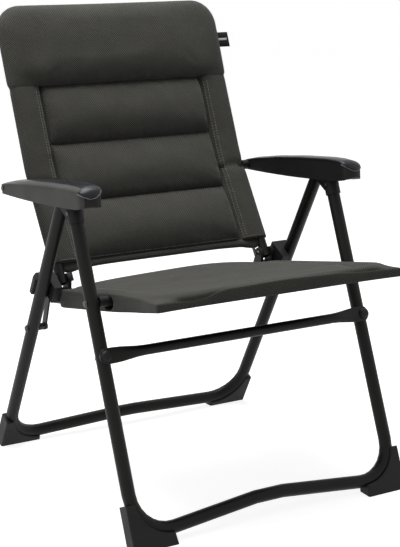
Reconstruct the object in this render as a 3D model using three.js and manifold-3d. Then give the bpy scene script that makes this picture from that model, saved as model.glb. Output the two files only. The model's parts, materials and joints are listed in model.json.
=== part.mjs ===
import * as THREE from "three";
import { mergeVertices } from "three/addons/utils/BufferGeometryUtils.js";
import Module from "manifold-3d";

// A folding high-back camping armchair, shown open and upright. Two leg frames meet under the
// armrests, a seat frame and a back frame hang between them, and a pin under each armrest
// catches a toothed rack that sets the recline. Millimetres and degrees, +Z up, front at -Y.

const wasm = await Module();
wasm.setup();

// Layout of the open chair: the floor is z = 0 and the front floor bar lies at y = 0
const LEG_X = 280;
const RAIL_X = 233;
const FLOOR_AXIS = 16;
const FOOT_SPREAD = 577;
const FRONT_LEAN = 23;
const REAR_LEAN = 28.5;
const SEAT_SLOPE = 11.6;
const BACK_LEAN = 33.7;
const LEG_PIVOT_UP = 639.5;
const SEAT_PIVOT_UP = 421.5;
const HINGE_BACK = 228;
const HINGE_RISE = 30.5;
const ARM_PIVOT_UP = 201;
const LINK_DROP = 326.6;

// Fits
const CLEAR = 0.3;
const RUNNING = 0.4;
const OVERRUN = 60;

// Round bars: radii of tubes, pins and their heads
const LEG_R = 12.5;
const RAIL_R = 11;
const BACK_R = 10;
const TUBE_WALL = 1.5;
const PIN_R = 4;
const HEAD_R = 7;
const HEAD_THICK = 3;

// Leg frames
const FRONT_TUBE_UP = 608;
const LEG_CORNER = 70;
const BOW_BEND = 300;
const FRONT_BOW = 28;
const REAR_BOW = 15;
const KNUCKLE_R = 10;
const KNUCKLE_NECK = 12;
const KNUCKLE_COLLAR = 4;
const SPIGOT_R = 10.4;
const SPIGOT_LONG = 15;

// Moulded heads on the front tubes
const HEAD_WALL = 2;
const HEAD_SLEEVE = 42;
const HEAD_CROWN = 3;
const EAR_R = 9.5;
const RIVET_R = 2.5;
const RIVET_HEAD_R = 5;
const RIVET_HEAD = 1.4;
const RIVET_DROP = 22;

// Crossbar between the front legs
const CROSSBAR_UP = 323;
const CROSSBAR_R = 9.5;
const CROSSBAR_FLAT = 2.5;
const CROSSBAR_TALL = 14.5;
const CROSSBAR_PAST = 12;
const CROSSBAR_FLARE = 62;
const CROSSBAR_SET = 3.4;
const CAP_R = 10.5;
const CAP_DOME = 5;
const CAP_RIM = 1.5;
const NUT_R = 7;
const NUT_THICK = 4;

// Corner shoes
const SHOE_HALF = 15.2;
const SHOE_OUT = 3.2;
const SHOE_UP = 60;
const SHOE_ALONG = 74;
const SHOE_ROUND = 24;
const SHOE_EDGE = 2;

// Seat frame, its yokes and its pivots
const SEAT_FRONT = 180.4;
const SEAT_CORNER = 40;
const RAIL_END = 256;
const SPACER_R = 10;
const YOKE_R = 16;
const YOKE_START = 220;
const YOKE_WALL = 3;
const CHEEK = 6.2;
const CHEEK_R = 12;

// Back frame, bent forward above the armrests
const BACK_END = 8.5;
const BACK_KINK_UP = 225;
const BACK_BEND = 10.4;
const BACK_KINK = 250;
const BACK_UPPER = 330;
const BACK_CORNER = 38;
const HEM_UP = 27;
const HEM_ROD_R = 3;
const HEM_ROD_END = 4;
const HEM_CRANK = 12;

// Links and saddles
const LINK_IN = 254;
const LINK_THICK = 3.5;
const LINK_R = 7.5;
const COLLAR_R = 7;
const SADDLE_IN = 29.5;
const SADDLE_OUT = 15.5;
const SADDLE_REAR = 27;
const SADDLE_FRONT = 22;
const SADDLE_LONG = 38;
const SADDLE_CHEEK = 16.3;
const SADDLE_TAPER = 9;
const SADDLE_SLIT = 3;
const SADDLE_RIB = 6;

// Armrests
const ARM_HALF = 22;
const ARM_NOSE = 46.1;
const ARM_TAIL = 18.6;
const ARM_CROWN = 28.9;
const ARM_SKIRT = 16.8;
const ARM_WALL = 2.2;
const ARM_NOSE_ROUND = 16;
const ARM_NOSE_WALL = 6;
const ARM_TAIL_WALL = 8;
const ARM_LIP = 0.6;
const ARM_HEAD_R = 5.2;
const ARM_HEAD_THICK = 2;
const CAP_THICK = 2.6;
const CAP_DROP_IN = 4;
const CAP_DROP_OUT = 10.5;
const RACK_BACK = 3.2;
const PIN_UNDER = 2;
const RACK_NOTCHES = 5;
const RACK_PITCH = 14.6;
const RACK_DEEP = 6.8;

// Fabric: sleeves round the tubes, the sling, the back sheet and its cushion
const SEAT_SLEEVE_R = 15;
const SEAT_SLEEVE_END = 217;
const SEAT_POINT = 23;
const SEAT_POINT_R = 3;
const SLING_THICK = 3.2;
const SLING_RISE = 18;
const WINDOW_R = 17;
const BACK_SLEEVE_R = 14;
const BACK_SLEEVE_END = 24;
const BACK_WINDOW_R = 13;
const SHEET_REAR = 6;
const HEM_R = 6.5;
const PAD_HALF = 182;
const PAD_LOW = 34;
const GROOVE_UPS = [158, 280, 401];
const PAD_BASE = 0.5;
const PAD_CROWN = 21;
const PAD_GROOVE = 7;
const HEAD_PAD_PAST = 14.5;
const HEAD_PAD_TOP = 14;
const HEAD_PAD_FRONT = 24;
const HEAD_PAD_REAR = 13;
const HEAD_PAD_ROUND = 52;
const TAG_WIDE = 24;
const TAG_TALL = 30;
const TAG_THICK = 1;
const TAG_UP = 465;

// Facet counts
const TUBE_SIDES = 16;
const SLEEVE_SIDES = 14;
const PIN_SIDES = 12;
const ARC_STEPS = 4;
const BEND_STEP = 15;

// Tables of shares: each value is a share of the size that it follows
const crownShares = [
  [-0.0525, 0.21], [-0.015, 0.4], [0.09, 0.585], [0.308, 0.81], [0.56, 0.95],
  [0.81, 1], [0.905, 0.955], [0.96, 0.862], [0.99, 0.62], [1, 0.36],
];
const skirtShares = [
  [-0.0525, 0.45], [-0.04, 0.6], [0.19, 0.815], [0.404, 0.952], [0.6, 1],
  [0.907, 0.952], [0.98, 0.77], [1, 0.5],
];
const armStationShares = [
  -0.0525, -0.04, -0.015, 0.03, 0.09, 0.2, 0.308, 0.43, 0.56, 0.69, 0.81, 0.87,
  0.905, 0.94, 0.96, 0.975, 0.99, 1,
];
const capAcrossShares = [-1, -0.92, -0.6, -0.2, 0.25, 0.62, 0.9, 1];
const capDropShares = [
  [-1, 1], [-0.92, 0.55], [-0.6, 0.14], [-0.2, 0], [0.25, 0.1], [0.62, 0.38], [0.9, 0.76], [1, 1],
];
const slingRunShares = [0, 0.08, 0.2, 0.4, 0.6, 0.8, 1];
const slingRiseShares = [0.28, 0.11, 0, 0.17, 0.5, 0.78, 1];
const padAcrossShares = [-1, -0.985, -0.94, -0.85, -0.6, -0.2, 0.2, 0.6, 0.85, 0.94, 0.985, 1];
const padRiseShares = [0, 0.35, 0.62, 0.84, 0.97, 1, 1, 0.97, 0.84, 0.62, 0.35, 0];
const padRunShares = [0, 0.03, 0.1, 0.25, 0.5, 0.75, 0.9, 0.97];
const padSwellShares = [
  [0, 0], [0.03, 0.42], [0.1, 0.72], [0.25, 0.94], [0.5, 1], [0.75, 0.94], [0.9, 0.72],
  [0.97, 0.42], [1, 0],
];
const padBaseShares = [0.6, -0.6];
const headRunShares = [0, 0.05, 0.15, 0.35, 0.6, 0.75, 0.85, 0.92, 0.97, 1];
const headSwellShares = [0.35, 0.62, 0.86, 1, 1, 0.97, 0.9, 0.78, 0.55, 0.2];
const headRearSwellShares = [0.45, 0.72, 0.96, 1, 1, 1, 1, 0.88, 0.65, 0.3];
const headFrontShares = [[0, 1], [0.5, 1], [0.8, 0.94], [0.93, 0.72], [1, 0.2]];
const headRearShares = [[1, 0.2], [0.93, 0.8], [0.8, 1], [0, 1]];
const pinHeadShare = 0.7;
const capDomeShares = [0.64, 0.91];
const crossbarTipShares = [0.97, 0.88, 0.71, 0.5, 0.26];

// Materials
const paint = new THREE.MeshStandardMaterial({ color: 0x232321, roughness: 0.42, metalness: 0.35 });
const plastic = new THREE.MeshStandardMaterial({ color: 0x1c1c1c, roughness: 0.6, metalness: 0 });
const satin = new THREE.MeshStandardMaterial({ color: 0x31333a, roughness: 0.32, metalness: 0 });
const steel = new THREE.MeshStandardMaterial({ color: 0x2c2c2e, roughness: 0.4, metalness: 0.8 });
const fabric = new THREE.MeshStandardMaterial({ color: 0x4c4c46, roughness: 0.95, metalness: 0 });
const tape = new THREE.MeshStandardMaterial({ color: 0x0d0d0d, roughness: 0.8, metalness: 0 });

const radians = THREE.MathUtils.degToRad;
const AXIS_X = new THREE.Vector3(1, 0, 0);
const AXIS_Y = new THREE.Vector3(0, 1, 0);
const AXIS_Z = new THREE.Vector3(0, 0, 1);

// The point `up` along a line that leans `lean` to the rear from upright, and `back` square to it
function reach(start, lean, up, back = 0) {
  const turned = radians(lean);
  return {
    y: start.y + up * Math.sin(turned) + back * Math.cos(turned),
    z: start.z + up * Math.cos(turned) - back * Math.sin(turned),
  };
}

// A point of the side view in the coordinates of a frame that leans `lean` at `start`
function seenFrom(start, lean, point) {
  const turned = radians(lean);
  const y = point.y - start.y;
  const z = point.z - start.z;
  return {
    y: y * Math.cos(turned) - z * Math.sin(turned),
    z: y * Math.sin(turned) + z * Math.cos(turned),
  };
}

// Linear reading of a table of pairs
function tableAt(pairs, at) {
  const next = Math.max(1, pairs.findIndex((pair) => pair[0] >= at));
  const [from, low] = pairs[next - 1];
  const [to, high] = pairs[next];
  const share = THREE.MathUtils.clamp((at - from) / (to - from), 0, 1);
  return low + (high - low) * share;
}

// Side view: pivots of the mechanism
const frontFoot = { y: 0, z: FLOOR_AXIS };
const rearFoot = { y: FOOT_SPREAD, z: FLOOR_AXIS };
const legPivot = reach(rearFoot, -REAR_LEAN, LEG_PIVOT_UP);
const seatPivot = reach(frontFoot, FRONT_LEAN, SEAT_PIVOT_UP);
const hinge = reach(seatPivot, SEAT_SLOPE, HINGE_RISE, HINGE_BACK);
const armPivot = reach(hinge, BACK_LEAN, ARM_PIVOT_UP);
const linkFoot = reach(rearFoot, -REAR_LEAN, LEG_PIVOT_UP - LINK_DROP);
const armLean = THREE.MathUtils.radToDeg(
  Math.atan2(legPivot.z - armPivot.z, armPivot.y - legPivot.y),
);
const linkLean = THREE.MathUtils.radToDeg(
  Math.atan2(hinge.y - linkFoot.y, hinge.z - linkFoot.z),
);
const linkLong = Math.hypot(hinge.y - linkFoot.y, hinge.z - linkFoot.z);
const pinReach = Math.hypot(armPivot.y - legPivot.y, armPivot.z - legPivot.z);
const armReach = pinReach + RACK_NOTCHES * RACK_PITCH + ARM_NOSE;

const chair = new THREE.Group();

// Each frame is a group whose z runs up its line and whose y runs square to it, to the rear
function frameAt(origin, lean) {
  const group = new THREE.Group();
  group.position.set(0, origin.y, origin.z);
  group.rotation.x = -radians(lean);
  chair.add(group);
  return group;
}

// A path of straight runs joined by round bends, read only at the ends of its arcs' steps
class BentPath extends THREE.Curve {
  constructor(corners) {
    super();
    this.stations = [];
    const heading = (index) =>
      corners[index + 1].at.clone().sub(corners[index].at).normalize();
    corners.forEach((corner, index) => {
      if (index === 0) {
        this.stations.push([corner.at, heading(0)]);
      } else if (index === corners.length - 1) {
        this.stations.push([corner.at, heading(index - 1)]);
      } else {
        this.bend(corner, heading(index - 1), heading(index));
      }
    });
  }

  bend(corner, into, out) {
    const sweepAngle = into.angleTo(out);
    const inward = out.clone().addScaledVector(into, -into.dot(out)).normalize();
    const start = corner.at.clone()
      .addScaledVector(into, -corner.radius * Math.tan(sweepAngle / 2));
    const centre = start.clone().addScaledVector(inward, corner.radius);
    const steps = Math.ceil(sweepAngle / radians(BEND_STEP));
    for (let step = 0; step <= steps; step += 1) {
      const angle = (sweepAngle * step) / steps;
      const at = centre.clone()
        .addScaledVector(inward, -corner.radius * Math.cos(angle))
        .addScaledVector(into, corner.radius * Math.sin(angle));
      const tangent = into.clone().multiplyScalar(Math.cos(angle))
        .addScaledVector(inward, Math.sin(angle));
      this.stations.push([at, tangent]);
    }
  }

  station(share) {
    return this.stations[Math.round(share * (this.stations.length - 1))];
  }

  getPointAt(share, target = new THREE.Vector3()) {
    return target.copy(this.station(share)[0]);
  }

  getTangentAt(share, target = new THREE.Vector3()) {
    return target.copy(this.station(share)[1]);
  }
}

function corner(x, y, z, radius = 0) {
  return { at: new THREE.Vector3(x, y, z), radius };
}

function disc(radius, sides) {
  const points = [];
  for (let side = 0; side < sides; side += 1) {
    const angle = (2 * Math.PI * side) / sides;
    points.push(new THREE.Vector2(radius * Math.cos(angle), radius * Math.sin(angle)));
  }
  return new THREE.Shape(points);
}

// A round bar along a bent path
function sweep(corners, radius, sides = TUBE_SIDES) {
  const path = new BentPath(corners);
  return new THREE.ExtrudeGeometry(disc(radius, sides), {
    steps: path.stations.length - 1,
    extrudePath: path,
    bevelEnabled: false,
  });
}

// An outline's points with arcs in steps, each point once
function stepped(outline) {
  const points = outline.getPoints(ARC_STEPS);
  return new THREE.Shape(points.filter(
    (point, index) => point.distanceTo(points.at(index - 1)) > CLEAR / 10,
  ));
}

// A side-view outline (y, z) extruded across the chair from x = `from` to x = `to`
function plate(outline, from, to) {
  const geometry = new THREE.ExtrudeGeometry(stepped(outline), {
    depth: to - from,
    bevelEnabled: false,
  });
  geometry.applyMatrix4(new THREE.Matrix4().makeBasis(AXIS_Y, AXIS_Z, AXIS_X));
  return geometry.translate(from, 0, 0);
}

function outlineOf(pairs) {
  return new THREE.Shape(pairs.map((pair) => new THREE.Vector2(pair[0], pair[1])));
}

// A revolved piece from [radius, along] pairs, on the Y axis
function revolved(pairs, sides = PIN_SIDES) {
  return new THREE.LatheGeometry(
    pairs.map((pair) => new THREE.Vector2(pair[0], pair[1])), sides,
  );
}

// The same, turned to lie along X at the point (y, z) of its frame
function acrossX(pairs, y = 0, z = 0, sides = PIN_SIDES) {
  return revolved(pairs, sides).rotateZ(-Math.PI / 2).translate(0, y, z);
}

function rod(radius, from, to) {
  return [[0, from], [radius, from], [radius, to], [0, to]];
}

// A closed skin over rings with equal counts of points, with flat ends
function loft(rings) {
  const count = rings[0].length;
  const positions = rings.flat().flatMap((point) => point.toArray());
  const index = [];
  for (let ring = 0; ring < rings.length - 1; ring += 1) {
    for (let side = 0; side < count; side += 1) {
      const here = ring * count + side;
      const beside = ring * count + ((side + 1) % count);
      index.push(here, beside, beside + count, here, beside + count, here + count);
    }
  }
  [0, rings.length - 1].forEach((ring) => {
    const flat = rings[ring].map((point) => point.clone());
    const middle = positions.length / 3;
    const centre = flat.reduce((sum, point) => sum.add(point), new THREE.Vector3());
    positions.push(...centre.divideScalar(count).toArray());
    for (let side = 0; side < count; side += 1) {
      const here = ring * count + side;
      const beside = ring * count + ((side + 1) % count);
      index.push(...(ring === 0 ? [beside, here, middle] : [here, beside, middle]));
    }
  });
  const geometry = new THREE.BufferGeometry();
  geometry.setAttribute("position", new THREE.Float32BufferAttribute(positions, 3));
  geometry.setIndex(index);
  return geometry;
}

// Merges a geometry's vertices, drops empty triangles and turns its faces outward
function closed(geometry) {
  const bare = geometry.clone();
  bare.deleteAttribute("normal");
  bare.deleteAttribute("uv");
  const merged = mergeVertices(bare);
  const position = merged.getAttribute("position");
  const index = Array.from(merged.getIndex().array);
  const kept = [];
  const [a, b, c] = [new THREE.Vector3(), new THREE.Vector3(), new THREE.Vector3()];
  let volume = 0;
  for (let at = 0; at < index.length; at += 3) {
    const [i, j, k] = index.slice(at, at + 3);
    if (i !== j && j !== k && k !== i) {
      a.fromBufferAttribute(position, i);
      b.fromBufferAttribute(position, j);
      c.fromBufferAttribute(position, k);
      volume += a.dot(b.cross(c));
      kept.push(i, j, k);
    }
  }
  merged.setIndex(volume < 0 ? kept.reverse() : kept);
  return merged;
}

function solid(piece) {
  if (!piece.isBufferGeometry) {
    return piece;
  }
  const shell = closed(piece);
  return new wasm.Manifold(new wasm.Mesh({
    numProp: 3,
    vertProperties: new Float32Array(shell.getAttribute("position").array),
    triVerts: new Uint32Array(shell.getIndex().array),
  }));
}

function fuse(...pieces) {
  return pieces.map(solid).reduce((whole, piece) => whole.add(piece));
}

function carve(piece, ...cuts) {
  return cuts.map(solid).reduce((whole, cut) => whole.subtract(cut), solid(piece));
}

function common(piece, ...others) {
  return others.map(solid).reduce((whole, other) => whole.intersect(other), solid(piece));
}

function geometryOf(piece) {
  const mesh = solid(piece).getMesh();
  const geometry = new THREE.BufferGeometry();
  geometry.setAttribute("position", new THREE.BufferAttribute(mesh.vertProperties, 3));
  geometry.setIndex(new THREE.BufferAttribute(mesh.triVerts, 1));
  geometry.computeVertexNormals();
  return geometry;
}

function add(parent, name, piece, material) {
  const mesh = new THREE.Mesh(geometryOf(piece), material);
  mesh.name = name;
  parent.add(mesh);
}

// A piece modelled on the right, and its mirror image on the left
function addPair(parent, name, piece, material) {
  const right = geometryOf(piece);
  add(parent, `${name}_right`, right, material);
  add(parent, `${name}_left`, right.clone().scale(-1, 1, 1), material);
}

function bothSides(piece) {
  const right = geometryOf(piece);
  return [right, right.clone().scale(-1, 1, 1)];
}

// Leg frames: a U of tube whose floor bar bows up in the middle
function legPath(top, bow) {
  return [
    corner(-LEG_X, 0, top),
    corner(-LEG_X, 0, 0, LEG_CORNER),
    corner(0, 0, bow, BOW_BEND),
    corner(LEG_X, 0, 0, LEG_CORNER),
    corner(LEG_X, 0, top),
  ];
}

const pinBore = PIN_R + CLEAR;
const frontFrame = frameAt(frontFoot, FRONT_LEAN);
const rearFrame = frameAt(rearFoot, -REAR_LEAN);
const rearTubeUp = LEG_PIVOT_UP - KNUCKLE_NECK;
const linkFootUp = LEG_PIVOT_UP - LINK_DROP;

function frontLegFrame() {
  const across = acrossX(rod(pinBore, -LEG_X - OVERRUN, LEG_X + OVERRUN), 0, SEAT_PIVOT_UP);
  const bolt = revolved(rod(pinBore, -OVERRUN, OVERRUN)).translate(LEG_X, 0, CROSSBAR_UP);
  const rivetHole = acrossX(
    rod(RIVET_R + CLEAR, -LEG_X - OVERRUN, LEG_X + OVERRUN), 0, FRONT_TUBE_UP - RIVET_DROP,
  );
  return carve(sweep(legPath(FRONT_TUBE_UP, FRONT_BOW), LEG_R), across, rivetHole,
    ...bothSides(bolt));
}

function rearLegFrame() {
  const across = acrossX(rod(pinBore, -LEG_X - OVERRUN, LEG_X + OVERRUN), 0, linkFootUp);
  const socket = revolved(rod(SPIGOT_R + CLEAR, -SPIGOT_LONG - CLEAR, OVERRUN))
    .rotateX(Math.PI / 2)
    .translate(LEG_X, 0, rearTubeUp);
  return carve(sweep(legPath(rearTubeUp, REAR_BOW), LEG_R), across, ...bothSides(socket));
}

// A shoe wraps the outer half of a leg's bend and stands flat on the floor
function shoe(path, lean) {
  const outer = LEG_X + LEG_R + SHOE_OUT;
  const under = -LEG_R - SHOE_OUT - FLOOR_AXIS;
  const bendX = LEG_X - LEG_CORNER;
  const seam = -Math.asin((LEG_CORNER - SHOE_UP) / LEG_CORNER);
  const outline = new THREE.Shape();
  outline.moveTo(bendX + LEG_CORNER * Math.cos(seam), SHOE_UP);
  outline.absarc(bendX, LEG_CORNER, LEG_CORNER, seam, -Math.PI / 2, true);
  outline.lineTo(LEG_X - SHOE_ALONG, under);
  outline.lineTo(outer - SHOE_ROUND, under);
  outline.absarc(outer - SHOE_ROUND, under + SHOE_ROUND, SHOE_ROUND, -Math.PI / 2, 0, false);
  outline.lineTo(outer, SHOE_UP);
  const body = new THREE.ExtrudeGeometry(stepped(outline), {
    depth: 2 * (SHOE_HALF - SHOE_EDGE),
    bevelSize: SHOE_EDGE,
    bevelThickness: SHOE_EDGE,
    bevelOffset: -SHOE_EDGE,
    bevelSegments: 1,
  });
  body.rotateX(Math.PI / 2).translate(0, SHOE_HALF - SHOE_EDGE, 0);
  const floor = new THREE.BoxGeometry(2 * (outer + OVERRUN), FOOT_SPREAD, OVERRUN * 2)
    .translate(0, 0, -FLOOR_AXIS - OVERRUN)
    .rotateX(radians(lean));
  return carve(body, sweep(path, LEG_R + CLEAR), floor);
}

// The front tubes carry a moulded head: a sleeve with two ears that hold the leg pivot
function legHead() {
  const pivot = seenFrom(frontFoot, FRONT_LEAN, legPivot);
  const outer = LEG_R + CLEAR + HEAD_WALL;
  const sleeveBase = FRONT_TUBE_UP - HEAD_SLEEVE;
  const sleeve = revolved([
    [0, sleeveBase], [outer, sleeveBase], [outer, FRONT_TUBE_UP],
    [outer - HEAD_CROWN, FRONT_TUBE_UP + HEAD_CROWN], [0, FRONT_TUBE_UP + HEAD_CROWN],
  ]).rotateX(Math.PI / 2).translate(LEG_X, 0, 0);
  const ear = new THREE.Shape();
  ear.moveTo(0, sleeveBase + HEAD_SLEEVE / 4);
  ear.lineTo(LEG_R / 2, sleeveBase + HEAD_SLEEVE / 4);
  ear.lineTo(pivot.y + EAR_R * Math.sin(radians(REAR_LEAN)), pivot.z - EAR_R);
  ear.absarc(pivot.y, pivot.z, EAR_R, -radians(REAR_LEAN * 2), radians(90 + FRONT_LEAN), false);
  ear.lineTo(0, FRONT_TUBE_UP + HEAD_CROWN);
  const inner = LEG_R + RUNNING;
  const earIn = plate(ear, LEG_X - outer, LEG_X - inner);
  const earOut = plate(ear, LEG_X + inner, LEG_X + outer);
  const bar = rod(LEG_R + CLEAR, sleeveBase - OVERRUN, FRONT_TUBE_UP + CLEAR);
  const tube = revolved(bar, TUBE_SIDES)
    .rotateX(Math.PI / 2).translate(LEG_X, 0, 0);
  const bore = acrossX(rod(pinBore, LEG_X - OVERRUN, LEG_X + OVERRUN), pivot.y, pivot.z);
  const rivetHole = acrossX(
    rod(RIVET_R + CLEAR, LEG_X - OVERRUN, LEG_X + OVERRUN), 0, FRONT_TUBE_UP - RIVET_DROP,
  );
  return carve(fuse(sleeve, earIn, earOut), tube, bore, rivetHole);
}

// A rivet through the head's sleeve and the tube, with a low head each side
function headRivet() {
  const seat = LEG_R + CLEAR + HEAD_WALL + CLEAR / 2;
  const tip = seat + RIVET_HEAD;
  return acrossX([
    [0, LEG_X - tip], [RIVET_HEAD_R - RIVET_HEAD, LEG_X - tip], [RIVET_HEAD_R, LEG_X - seat],
    [RIVET_R, LEG_X - seat], [RIVET_R, LEG_X + seat], [RIVET_HEAD_R, LEG_X + seat],
    [RIVET_HEAD_R - RIVET_HEAD, LEG_X + tip], [0, LEG_X + tip],
  ], 0, FRONT_TUBE_UP - RIVET_DROP, PIN_SIDES / 2);
}

// The rear tubes end in a knuckle that turns between the ears
function knuckle() {
  const eye = new THREE.Shape();
  eye.absarc(0, LEG_PIVOT_UP, KNUCKLE_R, 0, Math.PI, false);
  eye.lineTo(-KNUCKLE_R, rearTubeUp + CLEAR);
  eye.lineTo(KNUCKLE_R, rearTubeUp + CLEAR);
  const block = plate(eye, LEG_X - LEG_R, LEG_X + LEG_R);
  const column = revolved(rod(LEG_R, rearTubeUp + CLEAR, LEG_PIVOT_UP + LEG_R))
    .rotateX(Math.PI / 2).translate(LEG_X, 0, 0);
  const collar = revolved(rod(LEG_R, rearTubeUp + CLEAR, rearTubeUp + CLEAR + KNUCKLE_COLLAR))
    .rotateX(Math.PI / 2).translate(LEG_X, 0, 0);
  const spigot = revolved(rod(SPIGOT_R, rearTubeUp - SPIGOT_LONG, rearTubeUp + KNUCKLE_COLLAR))
    .rotateX(Math.PI / 2).translate(LEG_X, 0, 0);
  const bore = acrossX(rod(pinBore, LEG_X - OVERRUN, LEG_X + OVERRUN), 0, LEG_PIVOT_UP);
  return carve(fuse(common(block, column), collar, spigot), bore);
}

// The long pin holds ears and knuckle together, and its two ends run under the rack's teeth
const hollowHalf = ARM_HALF - ARM_WALL;
const rackIn = LEG_R + CLEAR + HEAD_WALL + RUNNING;
const rackOut = hollowHalf - RUNNING;
const pinHalf = rackIn + PIN_UNDER;

function ratchetPin() {
  return acrossX(rod(PIN_R, LEG_X - pinHalf, LEG_X + pinHalf), 0, LEG_PIVOT_UP);
}

// Crossbar: a tube flattened and flared at each end, standing in front of the legs
function crossbar() {
  const flatY = -LEG_R - CLEAR - CROSSBAR_FLAT;
  const flatFrom = LEG_X - CROSSBAR_TALL;
  const flareFrom = flatFrom - CROSSBAR_FLARE;
  const ringAt = (x, thick, tall, y) => {
    const points = [];
    for (let side = 0; side < PIN_SIDES; side += 1) {
      const angle = (2 * Math.PI * side) / PIN_SIDES;
      points.push(new THREE.Vector3(
        x, y + thick * Math.cos(angle), CROSSBAR_UP + tall * Math.sin(angle),
      ));
    }
    return points;
  };
  const half = [];
  const flareSteps = ARC_STEPS;
  for (let step = 0; step <= flareSteps; step += 1) {
    const share = step / flareSteps;
    const eased = share * share * (3 - 2 * share);
    half.push([
      flareFrom + CROSSBAR_FLARE * share,
      CROSSBAR_R + (CROSSBAR_FLAT - CROSSBAR_R) * eased,
      CROSSBAR_R + (CROSSBAR_TALL - CROSSBAR_R) * eased,
      flatY - CROSSBAR_SET * (1 - eased),
    ]);
  }
  half.push([LEG_X, CROSSBAR_FLAT, CROSSBAR_TALL, flatY]);
  crossbarTipShares.forEach((share) => {
    const past = CROSSBAR_PAST * Math.sqrt(1 - share * share);
    half.push([LEG_X + past, CROSSBAR_FLAT, CROSSBAR_TALL * share, flatY]);
  });
  const mirrored = half.map(([x, thick, tall, y]) => [-x, thick, tall, y]).reverse();
  const rings = [...mirrored, ...half].map((ring) => ringAt(...ring));
  const bolt = revolved(rod(pinBore, -OVERRUN, OVERRUN)).translate(LEG_X, 0, CROSSBAR_UP);
  return carve(loft(rings), ...bothSides(bolt));
}

// A mushroom-headed bolt with its nut behind the leg
function crossbarBolt() {
  const face = -LEG_R - 2 * CLEAR - 2 * CROSSBAR_FLAT;
  const rear = LEG_R + CLEAR;
  return revolved([
    [0, face - CAP_DOME], [CAP_R * capDomeShares[0], face - CAP_DOME * capDomeShares[1]],
    [CAP_R, face - CAP_RIM], [CAP_R, face], [PIN_R, face], [PIN_R, rear], [NUT_R, rear],
    [NUT_R, rear + NUT_THICK], [0, rear + NUT_THICK],
  ]).translate(LEG_X, 0, CROSSBAR_UP);
}

add(frontFrame, "front_leg_frame", frontLegFrame(), paint);
add(frontFrame, "front_crossbar", crossbar(), paint);
addPair(frontFrame, "crossbar_bolt", crossbarBolt(), plastic);
addPair(frontFrame, "front_foot", shoe(legPath(FRONT_TUBE_UP, FRONT_BOW), FRONT_LEAN), plastic);
addPair(frontFrame, "leg_head", legHead(), plastic);
addPair(frontFrame, "leg_head_rivet", headRivet(), steel);
add(rearFrame, "rear_leg_frame", rearLegFrame(), paint);
addPair(rearFrame, "rear_foot", shoe(legPath(rearTubeUp, REAR_BOW), -REAR_LEAN), plastic);
addPair(rearFrame, "rear_leg_knuckle", knuckle(), plastic);
addPair(rearFrame, "ratchet_pin", ratchetPin(), steel);

// Seat pivots: a bolt through leg, spacer and rail
const spacerIn = RAIL_X + RAIL_R + CLEAR;
const spacerOut = LEG_X - LEG_R - CLEAR;

function seatPivotBolt() {
  const tip = RAIL_X - RAIL_R + TUBE_WALL;
  const head = LEG_X + LEG_R + CLEAR;
  return acrossX([
    [0, tip], [PIN_R, tip], [PIN_R, head],
    [HEAD_R, head], [HEAD_R * pinHeadShare, head + HEAD_THICK], [0, head + HEAD_THICK],
  ], 0, SEAT_PIVOT_UP);
}

function seatPivotSpacer() {
  return acrossX([
    [pinBore, spacerIn], [SPACER_R, spacerIn], [SPACER_R, spacerOut], [pinBore, spacerOut],
    [pinBore, spacerIn],
  ], 0, SEAT_PIVOT_UP);
}

addPair(frontFrame, "seat_pivot_bolt", seatPivotBolt(), steel);
addPair(frontFrame, "seat_pivot_spacer", seatPivotSpacer(), plastic);

// Seat frame: a U of tube with the bar at the front, and a moulded yoke on each rear end
const seatFrame = frameAt(seatPivot, SEAT_SLOPE);

function seatPath(rear) {
  return [
    corner(-RAIL_X, rear, 0),
    corner(-RAIL_X, -SEAT_FRONT, 0, SEAT_CORNER),
    corner(RAIL_X, -SEAT_FRONT, 0, SEAT_CORNER),
    corner(RAIL_X, rear, 0),
  ];
}

function yoke() {
  const socketEnd = RAIL_END + CLEAR + YOKE_WALL;
  const socket = revolved([
    [0, YOKE_START], [YOKE_R, YOKE_START], [YOKE_R, socketEnd - YOKE_WALL],
    [YOKE_R - YOKE_WALL, socketEnd], [0, socketEnd],
  ]).translate(RAIL_X, 0, 0);
  const cheek = new THREE.Shape();
  cheek.moveTo(YOKE_START, -BACK_R);
  cheek.lineTo(socketEnd - YOKE_WALL, -BACK_R);
  cheek.lineTo(socketEnd - YOKE_WALL, YOKE_WALL);
  cheek.absarc(HINGE_BACK, HINGE_RISE, CHEEK_R, radians(-15), radians(200), false);
  cheek.lineTo(YOKE_START, HINGE_RISE / 2);
  const near = BACK_R + RUNNING;
  const far = near + CHEEK;
  const cheekOut = plate(cheek, RAIL_X + near, RAIL_X + far);
  const cheekIn = plate(cheek, RAIL_X - far, RAIL_X - near);
  const rail = revolved(rod(RAIL_R + CLEAR, YOKE_START - OVERRUN, RAIL_END + CLEAR), TUBE_SIDES)
    .translate(RAIL_X, 0, 0);
  const bore = acrossX(rod(pinBore, 0, LEG_X), HINGE_BACK, HINGE_RISE);
  return carve(fuse(socket, cheekOut, cheekIn), rail, bore);
}

const hingePinIn = RAIL_X - BACK_R - RUNNING - CHEEK - CLEAR - HEAD_THICK;

function hingePin() {
  const inner = hingePinIn + HEAD_THICK;
  const outer = RAIL_X + BACK_R + RUNNING + CHEEK - CLEAR;
  return acrossX([
    [0, hingePinIn], [HEAD_R * pinHeadShare, hingePinIn],
    [HEAD_R, inner], [PIN_R, inner], [PIN_R, outer], [0, outer],
  ], HINGE_BACK, HINGE_RISE);
}

function seatFrameTube() {
  const across = acrossX(rod(pinBore, -LEG_X, LEG_X));
  return carve(sweep(seatPath(RAIL_END), RAIL_R), across);
}

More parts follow.
